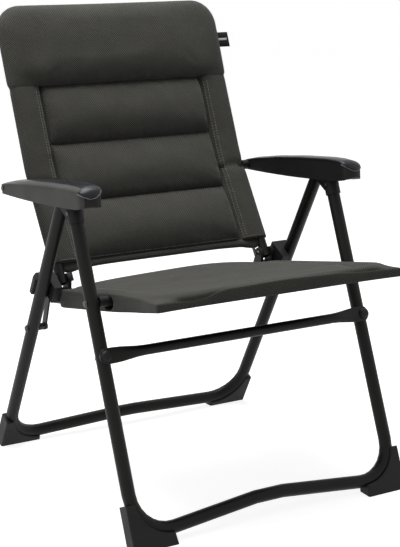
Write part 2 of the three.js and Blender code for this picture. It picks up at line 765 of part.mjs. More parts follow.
// Seat cover: one sleeve round the U, drawn to a point at each front corner, and a sling that
// is flat at the front and crowned at the rear
function sling() {
  const half = RAIL_X - RAIL_R;
  const run = SEAT_FRONT + SEAT_SLEEVE_END;
  const rings = slingRunShares.map((runShare, row) => {
    const y = -SEAT_FRONT + run * runShare;
    const rise = SLING_RISE * slingRiseShares[row];
    const top = [];
    const bottom = [];
    for (let step = -ARC_STEPS; step <= ARC_STEPS; step += 1) {
      const share = step / ARC_STEPS;
      const z = rise * (1 - share * share);
      top.push(new THREE.Vector3(half * share, y, z));
      bottom.unshift(new THREE.Vector3(half * share, y, z - SLING_THICK));
    }
    return [...top, ...bottom];
  });
  return loft(rings);
}

function seatCover() {
  const point = new THREE.CylinderGeometry(SEAT_POINT_R, SEAT_SLEEVE_R, SEAT_CORNER, SLEEVE_SIDES)
    .rotateZ(radians(-135))
    .translate(
      RAIL_X + SEAT_POINT - SEAT_CORNER / 2, -SEAT_FRONT - SEAT_POINT + SEAT_CORNER / 2, 0,
    );
  const side = revolved(rod(SEAT_SLEEVE_R, -SEAT_FRONT, -SEAT_FRONT + SEAT_CORNER))
    .translate(RAIL_X, 0, 0);
  const front = acrossX(rod(SEAT_SLEEVE_R, RAIL_X - SEAT_CORNER, RAIL_X), -SEAT_FRONT);
  const window = acrossX(rod(WINDOW_R, RAIL_X, LEG_X));
  return carve(
    fuse(sweep(seatPath(SEAT_SLEEVE_END), SEAT_SLEEVE_R, SLEEVE_SIDES), sling(), ...bothSides(point),
      ...bothSides(side), ...bothSides(front)),
    sweep(seatPath(SEAT_SLEEVE_END + OVERRUN), RAIL_R + CLEAR),
    ...bothSides(window),
  );
}

add(seatFrame, "seat_frame_tube", seatFrameTube(), paint);
addPair(seatFrame, "seat_yoke", yoke(), plastic);
addPair(seatFrame, "hinge_pin", hingePin(), steel);
add(seatFrame, "seat_cover", seatCover(), fabric);

// Links: a flat bar from each rear leg up to the hinge, its top buried in a saddle that
// rests on the back of the leg
const linkFrame = frameAt(linkFoot, linkLean);
const saddleFrame = frameAt(hinge, -REAR_LEAN);
const linkOut = LINK_IN + LINK_THICK;

function legLink() {
  const bar = new THREE.Shape();
  bar.absarc(0, linkLong, LINK_R, 0, Math.PI, false);
  bar.absarc(0, 0, LINK_R, Math.PI, 2 * Math.PI, false);
  const foot = acrossX(rod(pinBore, LINK_IN - OVERRUN, linkOut + OVERRUN));
  const top = acrossX(rod(pinBore, LINK_IN - OVERRUN, linkOut + OVERRUN), 0, linkLong);
  return carve(plate(bar, LINK_IN, linkOut), foot, top);
}

function linkPin() {
  const head = LEG_X + LEG_R + CLEAR;
  const collarOut = LEG_X - LEG_R - CLEAR;
  return acrossX([
    [0, LINK_IN - CLEAR - HEAD_THICK], [HEAD_R, LINK_IN - CLEAR - HEAD_THICK],
    [HEAD_R, LINK_IN - CLEAR], [PIN_R, LINK_IN - CLEAR], [PIN_R, linkOut + CLEAR],
    [COLLAR_R, linkOut + CLEAR], [COLLAR_R, collarOut], [PIN_R, collarOut], [PIN_R, head],
    [HEAD_R, head], [HEAD_R * pinHeadShare, head + HEAD_THICK], [0, head + HEAD_THICK],
  ], 0, linkFootUp);
}

function saddle() {
  const inHinge = seenFrom(rearFoot, -REAR_LEAN, hinge);
  const rear = SADDLE_REAR - inHinge.y;
  const front = -SADDLE_FRONT - inHinge.y;
  const body = new THREE.ExtrudeGeometry(outlineOf([
    [LEG_X - SADDLE_IN, front],
    [LEG_X - SADDLE_IN + SADDLE_CHEEK, front],
    [LEG_X - SADDLE_IN + SADDLE_CHEEK, -inHinge.y],
    [LEG_X + SADDLE_OUT, -inHinge.y + SADDLE_TAPER],
    [LEG_X + SADDLE_OUT, rear - SADDLE_TAPER],
    [LEG_X + SADDLE_OUT - SADDLE_TAPER, rear],
    [LEG_X - SADDLE_IN, rear],
  ]), { depth: SADDLE_LONG, bevelEnabled: false }).translate(0, 0, -SADDLE_LONG / 2);
  const leg = revolved(rod(LEG_R + RUNNING, -OVERRUN, OVERRUN), TUBE_SIDES)
    .rotateX(Math.PI / 2).translate(LEG_X, -inHinge.y, 0);
  const bore = acrossX(rod(pinBore, LEG_X - SADDLE_IN - OVERRUN, linkOut + OVERRUN / 8));
  const slotLean = radians(linkLean + REAR_LEAN);
  const slot = new THREE.BoxGeometry(
    LINK_THICK + 2 * CLEAR, 2 * (LINK_R + CLEAR), linkLong,
  ).translate(LINK_IN + LINK_THICK / 2, 0, -linkLong / 2 + LINK_R + CLEAR).rotateX(-slotLean);
  const slits = [-1, 1].map((side) => new THREE.BoxGeometry(
    SADDLE_SLIT, SADDLE_FRONT, SADDLE_SLIT,
  ).translate(LEG_X - SADDLE_IN, front + SADDLE_RIB, side * SADDLE_RIB));
  return carve(body, leg, bore, slot, ...slits);
}

addPair(linkFrame, "leg_link", legLink(), paint);
addPair(saddleFrame, "leg_saddle", saddle(), plastic);
addPair(rearFrame, "link_pin", linkPin(), steel);

// Back frame: a U of tube, open at the bottom, that bends forward above the armrests
const backFrame = frameAt(hinge, BACK_LEAN);

// The point `up` along the back's bent line and `ahead` in front of it, in the back frame
function onBack(up, ahead = 0) {
  const bend = radians(BACK_BEND);
  const bendFrom = BACK_KINK_UP - BACK_KINK * Math.tan(bend / 2);
  const bent = THREE.MathUtils.clamp((up - bendFrom) / BACK_KINK, 0, bend);
  const past = Math.max(0, up - bendFrom - BACK_KINK * bend);
  const y = -BACK_KINK * (1 - Math.cos(bent)) - past * Math.sin(bent) - ahead * Math.cos(bent);
  const z = Math.min(up, bendFrom) + BACK_KINK * Math.sin(bent) + past * Math.cos(bent)
    - ahead * Math.sin(bent);
  return { y, z };
}

const backTop = BACK_KINK_UP + BACK_UPPER;

function backPath(bottom, top = backTop) {
  const kink = { y: 0, z: BACK_KINK_UP };
  const bar = reach(kink, -BACK_BEND, top - BACK_KINK_UP);
  const path = (side) => [corner(side * RAIL_X, 0, bottom), corner(side * RAIL_X, 0, kink.z, BACK_KINK)];
  if (top < backTop) {
    return [...path(1), corner(RAIL_X, bar.y, bar.z)];
  }
  return [
    ...path(-1),
    corner(-RAIL_X, bar.y, bar.z, BACK_CORNER),
    corner(RAIL_X, bar.y, bar.z, BACK_CORNER),
    ...path(1).reverse(),
  ];
}

function backFrameTube() {
  const hingeBore = acrossX(rod(pinBore, -LEG_X, LEG_X));
  const armBore = acrossX(rod(pinBore, -LEG_X, LEG_X), 0, ARM_PIVOT_UP);
  return carve(sweep(backPath(-BACK_END), BACK_R), hingeBore, armBore);
}

// Hem: a rod cranked down at both ends to the hinge pins' heads, with the cloth rolled round it
const hemLegX = hingePinIn - CLEAR - HEM_ROD_R;

function hemRod(radius = HEM_ROD_R) {
  return sweep([
    corner(-hemLegX, 0, -HEM_ROD_END),
    corner(-hemLegX, 0, HEM_UP, HEM_CRANK),
    corner(hemLegX, 0, HEM_UP, HEM_CRANK),
    corner(hemLegX, 0, -HEM_ROD_END),
  ], radius, PIN_SIDES / 2);
}

function backHem() {
  const half = hemLegX - HEM_CRANK;
  return carve(acrossX(rod(HEM_R, -half, half), 0, HEM_UP), hemRod(HEM_ROD_R + CLEAR));
}

// Back cover: a sleeve up each side tube and the sheet between them
const coverTop = GROOVE_UPS[2];
const headPadHalf = RAIL_X + HEAD_PAD_PAST;

// Where the channels' cross-sections lie up the back, close together at each groove
const channelUps = GROOVE_UPS.flatMap((end, channel) => {
  const start = [PAD_LOW, ...GROOVE_UPS][channel];
  return padRunShares.map((share) => start + (end - start) * share);
});

function backSheet() {
  return loft([...channelUps, coverTop].map((up) => [[-1, 0], [1, 0], [1, -SHEET_REAR], [-1, -SHEET_REAR]].map(
    ([side, ahead]) => {
      const at = onBack(up, ahead);
      return new THREE.Vector3(side * RAIL_X, at.y, at.z);
    },
  )));
}

function backCover() {
  const sleeve = sweep(backPath(BACK_SLEEVE_END, coverTop), BACK_SLEEVE_R, SLEEVE_SIDES);
  const window = acrossX(rod(BACK_WINDOW_R, RAIL_X, LEG_X), 0, ARM_PIVOT_UP);
  return carve(
    fuse(backSheet(), ...bothSides(sleeve)),
    sweep(backPath(-BACK_END - OVERRUN), BACK_R + CLEAR),
    ...bothSides(window),
  );
}

// Cushion: three channels drawn in by grooves, and a full-width head pad wrapped over the top bar
function padHeight(up) {
  const bounds = [PAD_LOW, ...GROOVE_UPS];
  const channel = bounds.findLastIndex((bound) => bound <= up);
  if (channel === GROOVE_UPS.length) {
    return PAD_GROOVE;
  }
  const share = (up - bounds[channel]) / (bounds[channel + 1] - bounds[channel]);
  return PAD_GROOVE + (PAD_CROWN - PAD_GROOVE) * tableAt(padSwellShares, share);
}

function channels() {
  const rings = [...channelUps, coverTop + PAD_GROOVE].map((up) => {
    const height = padHeight(up) - PAD_BASE;
    const front = padAcrossShares.map((share, column) => {
      const at = onBack(up, PAD_BASE + height * padRiseShares[column]);
      return new THREE.Vector3(PAD_HALF * share, at.y, at.z);
    });
    const rear = padBaseShares.map((share) => {
      const at = onBack(up, CLEAR);
      return new THREE.Vector3(PAD_HALF * share, at.y, at.z);
    });
    return [...front, ...rear];
  });
  return loft(rings);
}

function headPad() {
  const from = coverTop + CLEAR;
  const to = backTop + HEAD_PAD_TOP;
  const rings = headRunShares.map((share, row) => {
    const up = from + (to - from) * share;
    const swell = headSwellShares[row];
    const inset = Math.max(0, up - (to - HEAD_PAD_ROUND));
    const half = headPadHalf - HEAD_PAD_ROUND
      + Math.sqrt(HEAD_PAD_ROUND ** 2 - inset ** 2);
    const side = [];
    headFrontShares.forEach(([across, ahead]) => {
      side.push([half * across, HEAD_PAD_FRONT * ahead * swell]);
    });
    headRearShares.forEach(([across, behind]) => {
      side.push([half * across, -HEAD_PAD_REAR * behind * headRearSwellShares[row]]);
    });
    const left = side.slice(1, -1).reverse().map(([x, ahead]) => [-x, ahead]);
    return [...side, ...left].map(([x, ahead]) => {
      const at = onBack(up, ahead);
      return new THREE.Vector3(x, at.y, at.z);
    });
  });
  return loft(rings);
}

function backCushion() {
  return carve(
    fuse(channels(), headPad()),
    sweep(backPath(-BACK_END - OVERRUN), BACK_R + CLEAR),
  );
}

function sideTag() {
  const at = onBack(TAG_UP, 0);
  return new THREE.BoxGeometry(TAG_WIDE, TAG_THICK, TAG_TALL)
    .translate(TAG_WIDE / 2, 0, TAG_TALL / 2)
    .rotateX(radians(BACK_BEND))
    .translate(headPadHalf + CLEAR, at.y, at.z);
}

add(backFrame, "back_frame_tube", backFrameTube(), paint);
add(backFrame, "back_hem_rod", hemRod(), steel);
add(backFrame, "back_hem", backHem(), fabric);
add(backFrame, "back_cover", backCover(), fabric);
add(backFrame, "back_cushion", backCushion(), fabric);
add(backFrame, "side_tag", sideTag(), tape);

// Armrests: y runs to the rear from the pivot, and the leg pin lies straight ahead of it
const armFrame = frameAt(armPivot, armLean);

function planHalf(along) {
  const fromEnd = Math.min(along + ARM_TAIL, armReach - along);
  const into = THREE.MathUtils.clamp(ARM_NOSE_ROUND - fromEnd, 0, ARM_NOSE_ROUND);
  return ARM_HALF - ARM_NOSE_ROUND + Math.sqrt(ARM_NOSE_ROUND ** 2 - into ** 2);
}

// The armrest's rounded top line across its width, lowered by `lower`; it falls to the outside
function topLine(along, half, lower) {
  const rise = tableAt(crownShares, along / armReach);
  return capAcrossShares.map((share) => {
    const across = (share * half) / planHalf(along);
    const drop = tableAt(capDropShares, across) * (share < 0 ? CAP_DROP_IN : CAP_DROP_OUT);
    return new THREE.Vector3(LEG_X + half * share, -along, (ARM_CROWN - drop) * rise - lower);
  });
}

function armLoft(alongs, halfAt, lower, floorAt) {
  return loft(alongs.map((along) => {
    const half = halfAt(along);
    const bottom = [1, -1].map((side) =>
      new THREE.Vector3(LEG_X + half * side, -along, floorAt(along)));
    return [...topLine(along, half, lower), ...bottom];
  }));
}

const armAlongs = armStationShares.map((share) => share * armReach);

function armrestCap() {
  return loft(armAlongs.map((along) => {
    const half = planHalf(along);
    return [...topLine(along, half, 0), ...topLine(along, half, CAP_THICK).reverse()];
  }));
}

function armrestShell() {
  const skirt = (along) => -ARM_SKIRT * tableAt(skirtShares, along / armReach);
  const body = armLoft(armAlongs, (along) => planHalf(along) - ARM_LIP, CAP_THICK + CLEAR, skirt);
  const hollowFrom = ARM_TAIL_WALL - ARM_TAIL;
  const hollowTo = armReach - ARM_NOSE_WALL;
  const inside = armAlongs.filter((along) => along > hollowFrom && along < hollowTo);
  const hollow = armLoft(
    [hollowFrom, ...inside, hollowTo],
    (along) => Math.min(hollowHalf, planHalf(along) - ARM_WALL),
    CAP_THICK + CLEAR + ARM_WALL,
    () => -ARM_SKIRT - OVERRUN,
  );
  const bore = acrossX(rod(pinBore, LEG_X - OVERRUN, LEG_X + OVERRUN));
  return carve(body, hollow, bore);
}

// Racks: a toothed bar along each side wall of the hollow, over one end of the leg pin
function armrestRack(from, to) {
  const tips = PIN_R + RUNNING;
  const root = tips + RACK_DEEP;
  const start = pinReach - RACK_PITCH;
  const notch = PIN_R + CLEAR;
  const teeth = new THREE.Shape();
  teeth.moveTo(-start, root + RACK_BACK);
  teeth.lineTo(-start, tips);
  for (let at = 0; at < RACK_NOTCHES; at += 1) {
    const middle = pinReach + at * RACK_PITCH;
    teeth.lineTo(-middle + notch, tips);
    teeth.absarc(-middle, root - notch, notch, 0, Math.PI, false);
    teeth.lineTo(-middle - notch, tips);
  }
  const end = pinReach + RACK_NOTCHES * RACK_PITCH;
  teeth.lineTo(-end, tips);
  teeth.lineTo(-end, root + RACK_BACK);
  return plate(teeth, from, to);
}

const armOut = LEG_X + ARM_HALF - ARM_LIP;

function armrestPivotPin() {
  const tip = RAIL_X - BACK_R + TUBE_WALL;
  const head = armOut + CLEAR;
  return acrossX([
    [0, tip], [PIN_R, tip], [PIN_R, head], [ARM_HEAD_R, head],
    [ARM_HEAD_R, head + ARM_HEAD_THICK / 2],
    [ARM_HEAD_R - ARM_HEAD_THICK / 2, head + ARM_HEAD_THICK], [0, head + ARM_HEAD_THICK],
  ]);
}

function armrestSpacer() {
  const from = RAIL_X + BACK_R + CLEAR;
  const to = LEG_X - ARM_HALF - CLEAR;
  return acrossX([
    [pinBore, from], [SPACER_R, from], [SPACER_R, to], [pinBore, to], [pinBore, from],
  ]);
}

addPair(armFrame, "armrest_shell", armrestShell(), plastic);
addPair(armFrame, "armrest_cap", armrestCap(), satin);
addPair(armFrame, "armrest_rack_inner", armrestRack(LEG_X - rackOut, LEG_X - rackIn), steel);
addPair(armFrame, "armrest_rack_outer", armrestRack(LEG_X + rackIn, LEG_X + rackOut), steel);
addPair(armFrame, "armrest_pivot_pin", armrestPivotPin(), steel);
addPair(armFrame, "armrest_spacer", armrestSpacer(), plastic);

// The part's own origin: the middle of its bounding box, on the floor
const bounds = new THREE.Box3().setFromObject(chair, true);
chair.position.set(
  -(bounds.min.x + bounds.max.x) / 2,
  -(bounds.min.y + bounds.max.y) / 2,
  -bounds.min.z,
);

export default chair;
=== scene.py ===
import json
import math

import bmesh
import bpy
from mathutils import Matrix, Vector, noise
from mathutils.bvhtree import BVHTree
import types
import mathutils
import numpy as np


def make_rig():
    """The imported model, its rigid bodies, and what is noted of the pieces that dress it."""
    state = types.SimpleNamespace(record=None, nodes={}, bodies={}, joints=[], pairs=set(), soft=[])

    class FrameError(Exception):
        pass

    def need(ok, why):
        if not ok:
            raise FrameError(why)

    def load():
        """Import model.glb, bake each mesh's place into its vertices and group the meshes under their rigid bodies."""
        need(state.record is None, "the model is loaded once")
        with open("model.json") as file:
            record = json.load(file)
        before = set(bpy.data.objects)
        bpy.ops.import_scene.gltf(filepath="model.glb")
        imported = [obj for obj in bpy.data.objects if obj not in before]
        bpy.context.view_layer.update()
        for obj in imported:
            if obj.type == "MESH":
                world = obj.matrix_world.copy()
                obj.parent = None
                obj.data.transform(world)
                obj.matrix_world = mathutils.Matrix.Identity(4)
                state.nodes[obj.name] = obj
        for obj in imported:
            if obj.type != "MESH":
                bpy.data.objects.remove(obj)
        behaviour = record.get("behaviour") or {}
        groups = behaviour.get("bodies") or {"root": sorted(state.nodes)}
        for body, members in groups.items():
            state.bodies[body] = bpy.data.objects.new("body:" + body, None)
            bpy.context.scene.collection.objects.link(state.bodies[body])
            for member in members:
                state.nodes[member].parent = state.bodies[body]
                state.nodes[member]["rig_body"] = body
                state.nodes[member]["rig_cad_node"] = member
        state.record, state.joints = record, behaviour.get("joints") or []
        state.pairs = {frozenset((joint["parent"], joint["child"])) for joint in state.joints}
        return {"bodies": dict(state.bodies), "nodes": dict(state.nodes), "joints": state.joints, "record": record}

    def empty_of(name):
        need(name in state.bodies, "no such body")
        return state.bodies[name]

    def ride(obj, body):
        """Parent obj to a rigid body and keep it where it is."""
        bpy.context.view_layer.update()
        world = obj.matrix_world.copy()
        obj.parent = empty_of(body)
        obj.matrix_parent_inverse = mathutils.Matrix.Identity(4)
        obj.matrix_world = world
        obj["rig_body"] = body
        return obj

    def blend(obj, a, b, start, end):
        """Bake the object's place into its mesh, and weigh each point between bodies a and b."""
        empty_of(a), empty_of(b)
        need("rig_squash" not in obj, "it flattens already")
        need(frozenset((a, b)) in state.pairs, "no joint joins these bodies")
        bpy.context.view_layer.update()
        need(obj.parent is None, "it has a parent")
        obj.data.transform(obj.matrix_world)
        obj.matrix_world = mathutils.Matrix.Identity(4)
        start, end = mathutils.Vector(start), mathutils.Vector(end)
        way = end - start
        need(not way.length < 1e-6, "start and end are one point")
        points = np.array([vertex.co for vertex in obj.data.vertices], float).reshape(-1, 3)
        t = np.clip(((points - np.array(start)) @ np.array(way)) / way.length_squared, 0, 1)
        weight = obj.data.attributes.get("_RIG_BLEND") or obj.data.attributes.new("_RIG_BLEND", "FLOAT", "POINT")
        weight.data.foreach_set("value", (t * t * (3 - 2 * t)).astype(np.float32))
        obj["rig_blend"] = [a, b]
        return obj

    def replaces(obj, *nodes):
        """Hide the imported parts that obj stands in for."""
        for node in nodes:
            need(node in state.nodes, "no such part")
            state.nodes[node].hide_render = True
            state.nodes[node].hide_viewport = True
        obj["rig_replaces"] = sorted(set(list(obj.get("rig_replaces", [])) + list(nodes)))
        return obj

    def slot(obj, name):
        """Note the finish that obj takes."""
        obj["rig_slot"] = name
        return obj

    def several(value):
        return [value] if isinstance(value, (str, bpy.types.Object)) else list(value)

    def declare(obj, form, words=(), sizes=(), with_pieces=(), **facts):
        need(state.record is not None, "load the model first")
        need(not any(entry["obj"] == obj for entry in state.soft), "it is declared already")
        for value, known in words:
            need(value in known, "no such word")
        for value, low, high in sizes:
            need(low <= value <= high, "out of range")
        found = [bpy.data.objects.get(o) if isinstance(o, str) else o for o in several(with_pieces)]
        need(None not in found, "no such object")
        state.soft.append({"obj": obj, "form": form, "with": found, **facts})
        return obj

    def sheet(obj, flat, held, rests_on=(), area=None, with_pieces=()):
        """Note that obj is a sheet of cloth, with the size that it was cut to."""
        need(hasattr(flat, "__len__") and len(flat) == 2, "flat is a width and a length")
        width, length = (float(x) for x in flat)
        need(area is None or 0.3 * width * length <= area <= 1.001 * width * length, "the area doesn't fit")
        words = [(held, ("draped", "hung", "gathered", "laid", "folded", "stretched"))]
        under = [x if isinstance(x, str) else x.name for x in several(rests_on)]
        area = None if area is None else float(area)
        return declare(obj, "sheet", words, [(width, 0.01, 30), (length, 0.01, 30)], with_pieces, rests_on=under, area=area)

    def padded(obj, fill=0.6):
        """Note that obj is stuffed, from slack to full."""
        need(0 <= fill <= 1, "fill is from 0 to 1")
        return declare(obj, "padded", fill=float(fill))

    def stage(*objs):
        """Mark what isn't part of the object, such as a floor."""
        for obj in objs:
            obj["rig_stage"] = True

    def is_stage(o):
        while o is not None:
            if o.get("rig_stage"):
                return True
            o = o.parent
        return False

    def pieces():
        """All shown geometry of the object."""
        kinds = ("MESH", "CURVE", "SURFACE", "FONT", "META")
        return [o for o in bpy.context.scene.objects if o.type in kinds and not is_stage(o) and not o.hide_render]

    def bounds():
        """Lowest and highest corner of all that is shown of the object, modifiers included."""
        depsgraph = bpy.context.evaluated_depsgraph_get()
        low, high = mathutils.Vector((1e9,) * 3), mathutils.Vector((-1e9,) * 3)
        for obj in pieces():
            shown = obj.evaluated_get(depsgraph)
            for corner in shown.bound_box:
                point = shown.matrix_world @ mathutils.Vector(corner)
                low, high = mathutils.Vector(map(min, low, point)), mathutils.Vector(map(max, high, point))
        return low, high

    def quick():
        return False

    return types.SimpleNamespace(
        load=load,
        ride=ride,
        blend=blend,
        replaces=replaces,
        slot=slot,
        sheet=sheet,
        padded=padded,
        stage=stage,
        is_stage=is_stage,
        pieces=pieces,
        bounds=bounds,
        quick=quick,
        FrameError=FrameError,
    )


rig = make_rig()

# The folding armchair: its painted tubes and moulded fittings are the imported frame, and the
# cover, the padding, the seams and the small trim are made here round them.
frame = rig.load()
cad_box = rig.bounds()

# Camera: it stands to the left in front of the chair and looks a little down on it, as in
# the photograph. A long lens, no shift.
camera_data = bpy.data.cameras.new("camera")
camera_data.sensor_width = 36
camera_data.lens = 93.65
camera_data.clip_start = 0.1
camera_data.clip_end = 60
camera = bpy.data.objects.new("camera", camera_data)
bpy.context.scene.collection.objects.link(camera)
camera_place = Vector((-1.347, -2.341, 1.078))
camera_yaw, camera_pitch, camera_roll = (math.radians(a) for a in (30.47, 14.30, -0.25))
look = Vector((
    math.sin(camera_yaw) * math.cos(camera_pitch),
    math.cos(camera_yaw) * math.cos(camera_pitch),
    -math.sin(camera_pitch),
))
level = Vector((math.cos(camera_yaw), -math.sin(camera_yaw), 0))
down = look.cross(level)
across = level * math.cos(camera_roll) + down * math.sin(camera_roll)
down = down * math.cos(camera_roll) - level * math.sin(camera_roll)
camera.matrix_world = Matrix((
    (across.x, -down.x, -look.x, camera_place.x),
    (across.y, -down.y, -look.y, camera_place.y),
    (across.z, -down.z, -look.z, camera_place.z),
    (0, 0, 0, 1),
))
bpy.context.scene.camera = camera

# Studio: a white floor that runs off into a white room, one wide soft lamp above the chair
# and two weak strips at the sides that draw the long highlights on the tubes. What the camera
# sees directly or in a gloss is plain white, and the light that falls on the chair is dimmer.
scene = bpy.context.scene
scene.view_settings.view_transform = "Standard"


def seen_directly(tree):
    """One for rays from the camera, in a gloss or through a clear piece, and nought for others."""
    path = tree.nodes.new("ShaderNodeLightPath")
    seen = path.outputs["Is Camera Ray"]
    for kind in ("Is Glossy Ray", "Is Transmission Ray"):
        either = tree.nodes.new("ShaderNodeMath")
        either.operation = "MAXIMUM"
        tree.links.new(seen, either.inputs[0])
        tree.links.new(path.outputs[kind], either.inputs[1])
        seen = either.outputs[0]
    return seen


world = bpy.data.worlds.new("white_room")
scene.world = world
world.use_nodes = True
sky, sky_links = world.node_tree.nodes, world.node_tree.links
room_light = sky["Background"]
room_light.inputs["Color"].default_value = (0.72, 0.74, 0.78, 1)
room_light.inputs["Strength"].default_value = 0.12
room_seen = sky.new("ShaderNodeBackground")
room_seen.inputs["Color"].default_value = (1, 1, 1, 1)
room_mix = sky.new("ShaderNodeMixShader")
sky_links.new(seen_directly(world.node_tree), room_mix.inputs["Fac"])
sky_links.new(room_light.outputs[0], room_mix.inputs[1])
sky_links.new(room_seen.outputs[0], room_mix.inputs[2])
sky_links.new(room_mix.outputs[0], sky["World Output"].inputs["Surface"])


def lamp(name, at, towards, width, height, watts):
    """A soft rectangular lamp at one place that faces another."""
    data = bpy.data.lights.new(name, "AREA")
    data.shape = "RECTANGLE"
    data.size, data.size_y = width, height
    data.energy = watts
    made = bpy.data.objects.new(name, data)
    scene.collection.objects.link(made)
    made.location = at
    made.rotation_mode = "QUATERNION"
    made.rotation_quaternion = (Vector(towards) - Vector(at)).to_track_quat("-Z", "Y")


lamp("lamp_above", (-0.3, 0.4, 2.9), (0, 0, 0.4), 2.0, 1.5, 78)
lamp("lamp_left", (-2.6, -0.6, 1.3), (0, 0, 0.45), 0.8, 2.0, 6)
lamp("lamp_right", (2.4, -1.6, 1.5), (0, 0, 0.45), 0.8, 2.0, 4)

bpy.ops.object.select_all(action="DESELECT")
bpy.ops.mesh.primitive_grid_add(x_subdivisions=8, y_subdivisions=8, size=40, location=(0, 6, 0))
floor = bpy.context.object
floor.name = "studio_floor"
white_floor = bpy.data.materials.new("white_floor")
white_floor.use_nodes = True
floor_nodes, floor_links = white_floor.node_tree.nodes, white_floor.node_tree.links
floor_paint = floor_nodes["Principled BSDF"]
floor_paint.inputs["Base Color"].default_value = (0.62, 0.62, 0.62, 1)
floor_paint.inputs["Roughness"].default_value = 0.9
floor_glow = floor_nodes.new("ShaderNodeEmission")
floor_glow.inputs["Strength"].default_value = 0.87
floor_dark = floor_nodes.new("ShaderNodeEmission")
floor_dark.inputs["Strength"].default_value = 0
floor_pick = floor_nodes.new("ShaderNodeMixShader")
floor_sum = floor_nodes.new("ShaderNodeAddShader")
floor_links.new(seen_directly(white_floor.node_tree), floor_pick.inputs["Fac"])
floor_links.new(floor_dark.outputs[0], floor_pick.inputs[1])
floor_links.new(floor_glow.outputs[0], floor_pick.inputs[2])
floor_links.new(floor_paint.outputs[0], floor_sum.inputs[0])
floor_links.new(floor_pick.outputs[0], floor_sum.inputs[1])
floor_links.new(floor_sum.outputs[0], floor_nodes["Material Output"].inputs["Surface"])
floor.data.materials.append(white_floor)
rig.stage(floor)


# Painted tubes: the two leg frames, the crossbar, the seat and back tubes and the links are
# steel and aluminium with a near-black satin powder coat, which has a fine orange peel.
def new_group(name, inputs, outputs):
    """A shader node group with its sockets, its input node and its output node."""
    group = bpy.data.node_groups.new(name, "ShaderNodeTree")
    for label, kind, value in inputs:
        group.interface.new_socket(label, in_out="INPUT", socket_type=kind).default_value = value
    for label, kind in outputs:
        group.interface.new_socket(label, in_out="OUTPUT", socket_type=kind)
    return group, group.nodes.new("NodeGroupInput"), group.nodes.new("NodeGroupOutput")


def noise_node(tree, where, scale, detail=2.0):
    """A noise texture that follows the given coordinates."""
    node = tree.nodes.new("ShaderNodeTexNoise")
    node.inputs["Scale"].default_value = scale
    node.inputs["Detail"].default_value = detail
    tree.links.new(where, node.inputs["Vector"])
    return node


def ranged(tree, value, low, high, at_low=0.0, at_high=1.0):
    """A value stretched from one range to another, whose ends are numbers or sockets."""
    node = tree.nodes.new("ShaderNodeMapRange")
    tree.links.new(value, node.inputs["Value"])
    ends = (("From Min", low), ("From Max", high), ("To Min", at_low), ("To Max", at_high))
    for label, number in ends:
        if isinstance(number, bpy.types.NodeSocket):
            tree.links.new(number, node.inputs[label])
        else:
            node.inputs[label].default_value = number
    return node.outputs["Result"]


def tinted(tree, factor, dark, light):
    """The colour between a dark and a light one, which are colours or sockets."""
    node = tree.nodes.new("ShaderNodeMix")
    node.data_type = "RGBA"
    tree.links.new(factor, node.inputs["Factor"])
    for label, colour in (("A", dark), ("B", light)):
        socket = next(s for s in node.inputs if s.name == label and s.type == "RGBA")
        if isinstance(colour, bpy.types.NodeSocket):
            tree.links.new(colour, socket)
        else:
            socket.default_value = (*colour, 1)
    return next(s for s in node.outputs if s.type == "RGBA")


coat_group, coat_in, coat_out = new_group(
    "coat_grain",
    [("Dark", "NodeSocketColor", (0.01, 0.01, 0.01, 1)),
     ("Light", "NodeSocketColor", (0.03, 0.03, 0.03, 1)),
     ("Smooth", "NodeSocketFloat", 0.35), ("Rough", "NodeSocketFloat", 0.5),
     ("Grain Scale", "NodeSocketFloat", 900.0)],
    [("Colour", "NodeSocketColor"), ("Roughness", "NodeSocketFloat"), ("Height", "NodeSocketFloat")],
)
coat_at = coat_group.nodes.new("ShaderNodeTexCoord").outputs["Object"]
coat_cloud = noise_node(coat_group, coat_at, 14, 3).outputs["Fac"]
coat_dust = noise_node(coat_group, coat_at, 5, 4).outputs["Fac"]
coat_fine = noise_node(coat_group, coat_at, 900, 2)
coat_group.links.new(coat_in.outputs["Grain Scale"], coat_fine.inputs["Scale"])
coat_tone = ranged(coat_group, coat_dust, 0.3, 0.7)
coat_group.links.new(
    tinted(coat_group, coat_tone, coat_in.outputs["Dark"], coat_in.outputs["Light"]),
    coat_out.inputs["Colour"])
coat_group.links.new(
    ranged(coat_group, coat_cloud, 0.3, 0.7, coat_in.outputs["Smooth"], coat_in.outputs["Rough"]),
    coat_out.inputs["Roughness"])
coat_group.links.new(coat_fine.outputs["Fac"], coat_out.inputs["Height"])


def coated(name, dark, light, roughness, grain_scale, grain_depth, shine=0.15):
    """A coated or moulded surface: two close tones, a clouded gloss and a fine grain."""
    material = bpy.data.materials.new(name)
    material.use_nodes = True
    tree = material.node_tree
    paint = tree.nodes["Principled BSDF"]
    paint.inputs["Specular IOR Level"].default_value = shine
    grain = tree.nodes.new("ShaderNodeGroup")
    grain.node_tree = coat_group
    grain.inputs["Dark"].default_value = (*dark, 1)
    grain.inputs["Light"].default_value = (*light, 1)
    grain.inputs["Smooth"].default_value, grain.inputs["Rough"].default_value = roughness
    grain.inputs["Grain Scale"].default_value = grain_scale
    tree.links.new(grain.outputs["Colour"], paint.inputs["Base Color"])
    tree.links.new(grain.outputs["Roughness"], paint.inputs["Roughness"])
    bump = tree.nodes.new("ShaderNodeBump")
    bump.inputs["Strength"].default_value = 0.5
    bump.inputs["Distance"].default_value = grain_depth
    tree.links.new(grain.outputs["Height"], bump.inputs["Height"])
    tree.links.new(bump.outputs["Normal"], paint.inputs["Normal"])
    return material


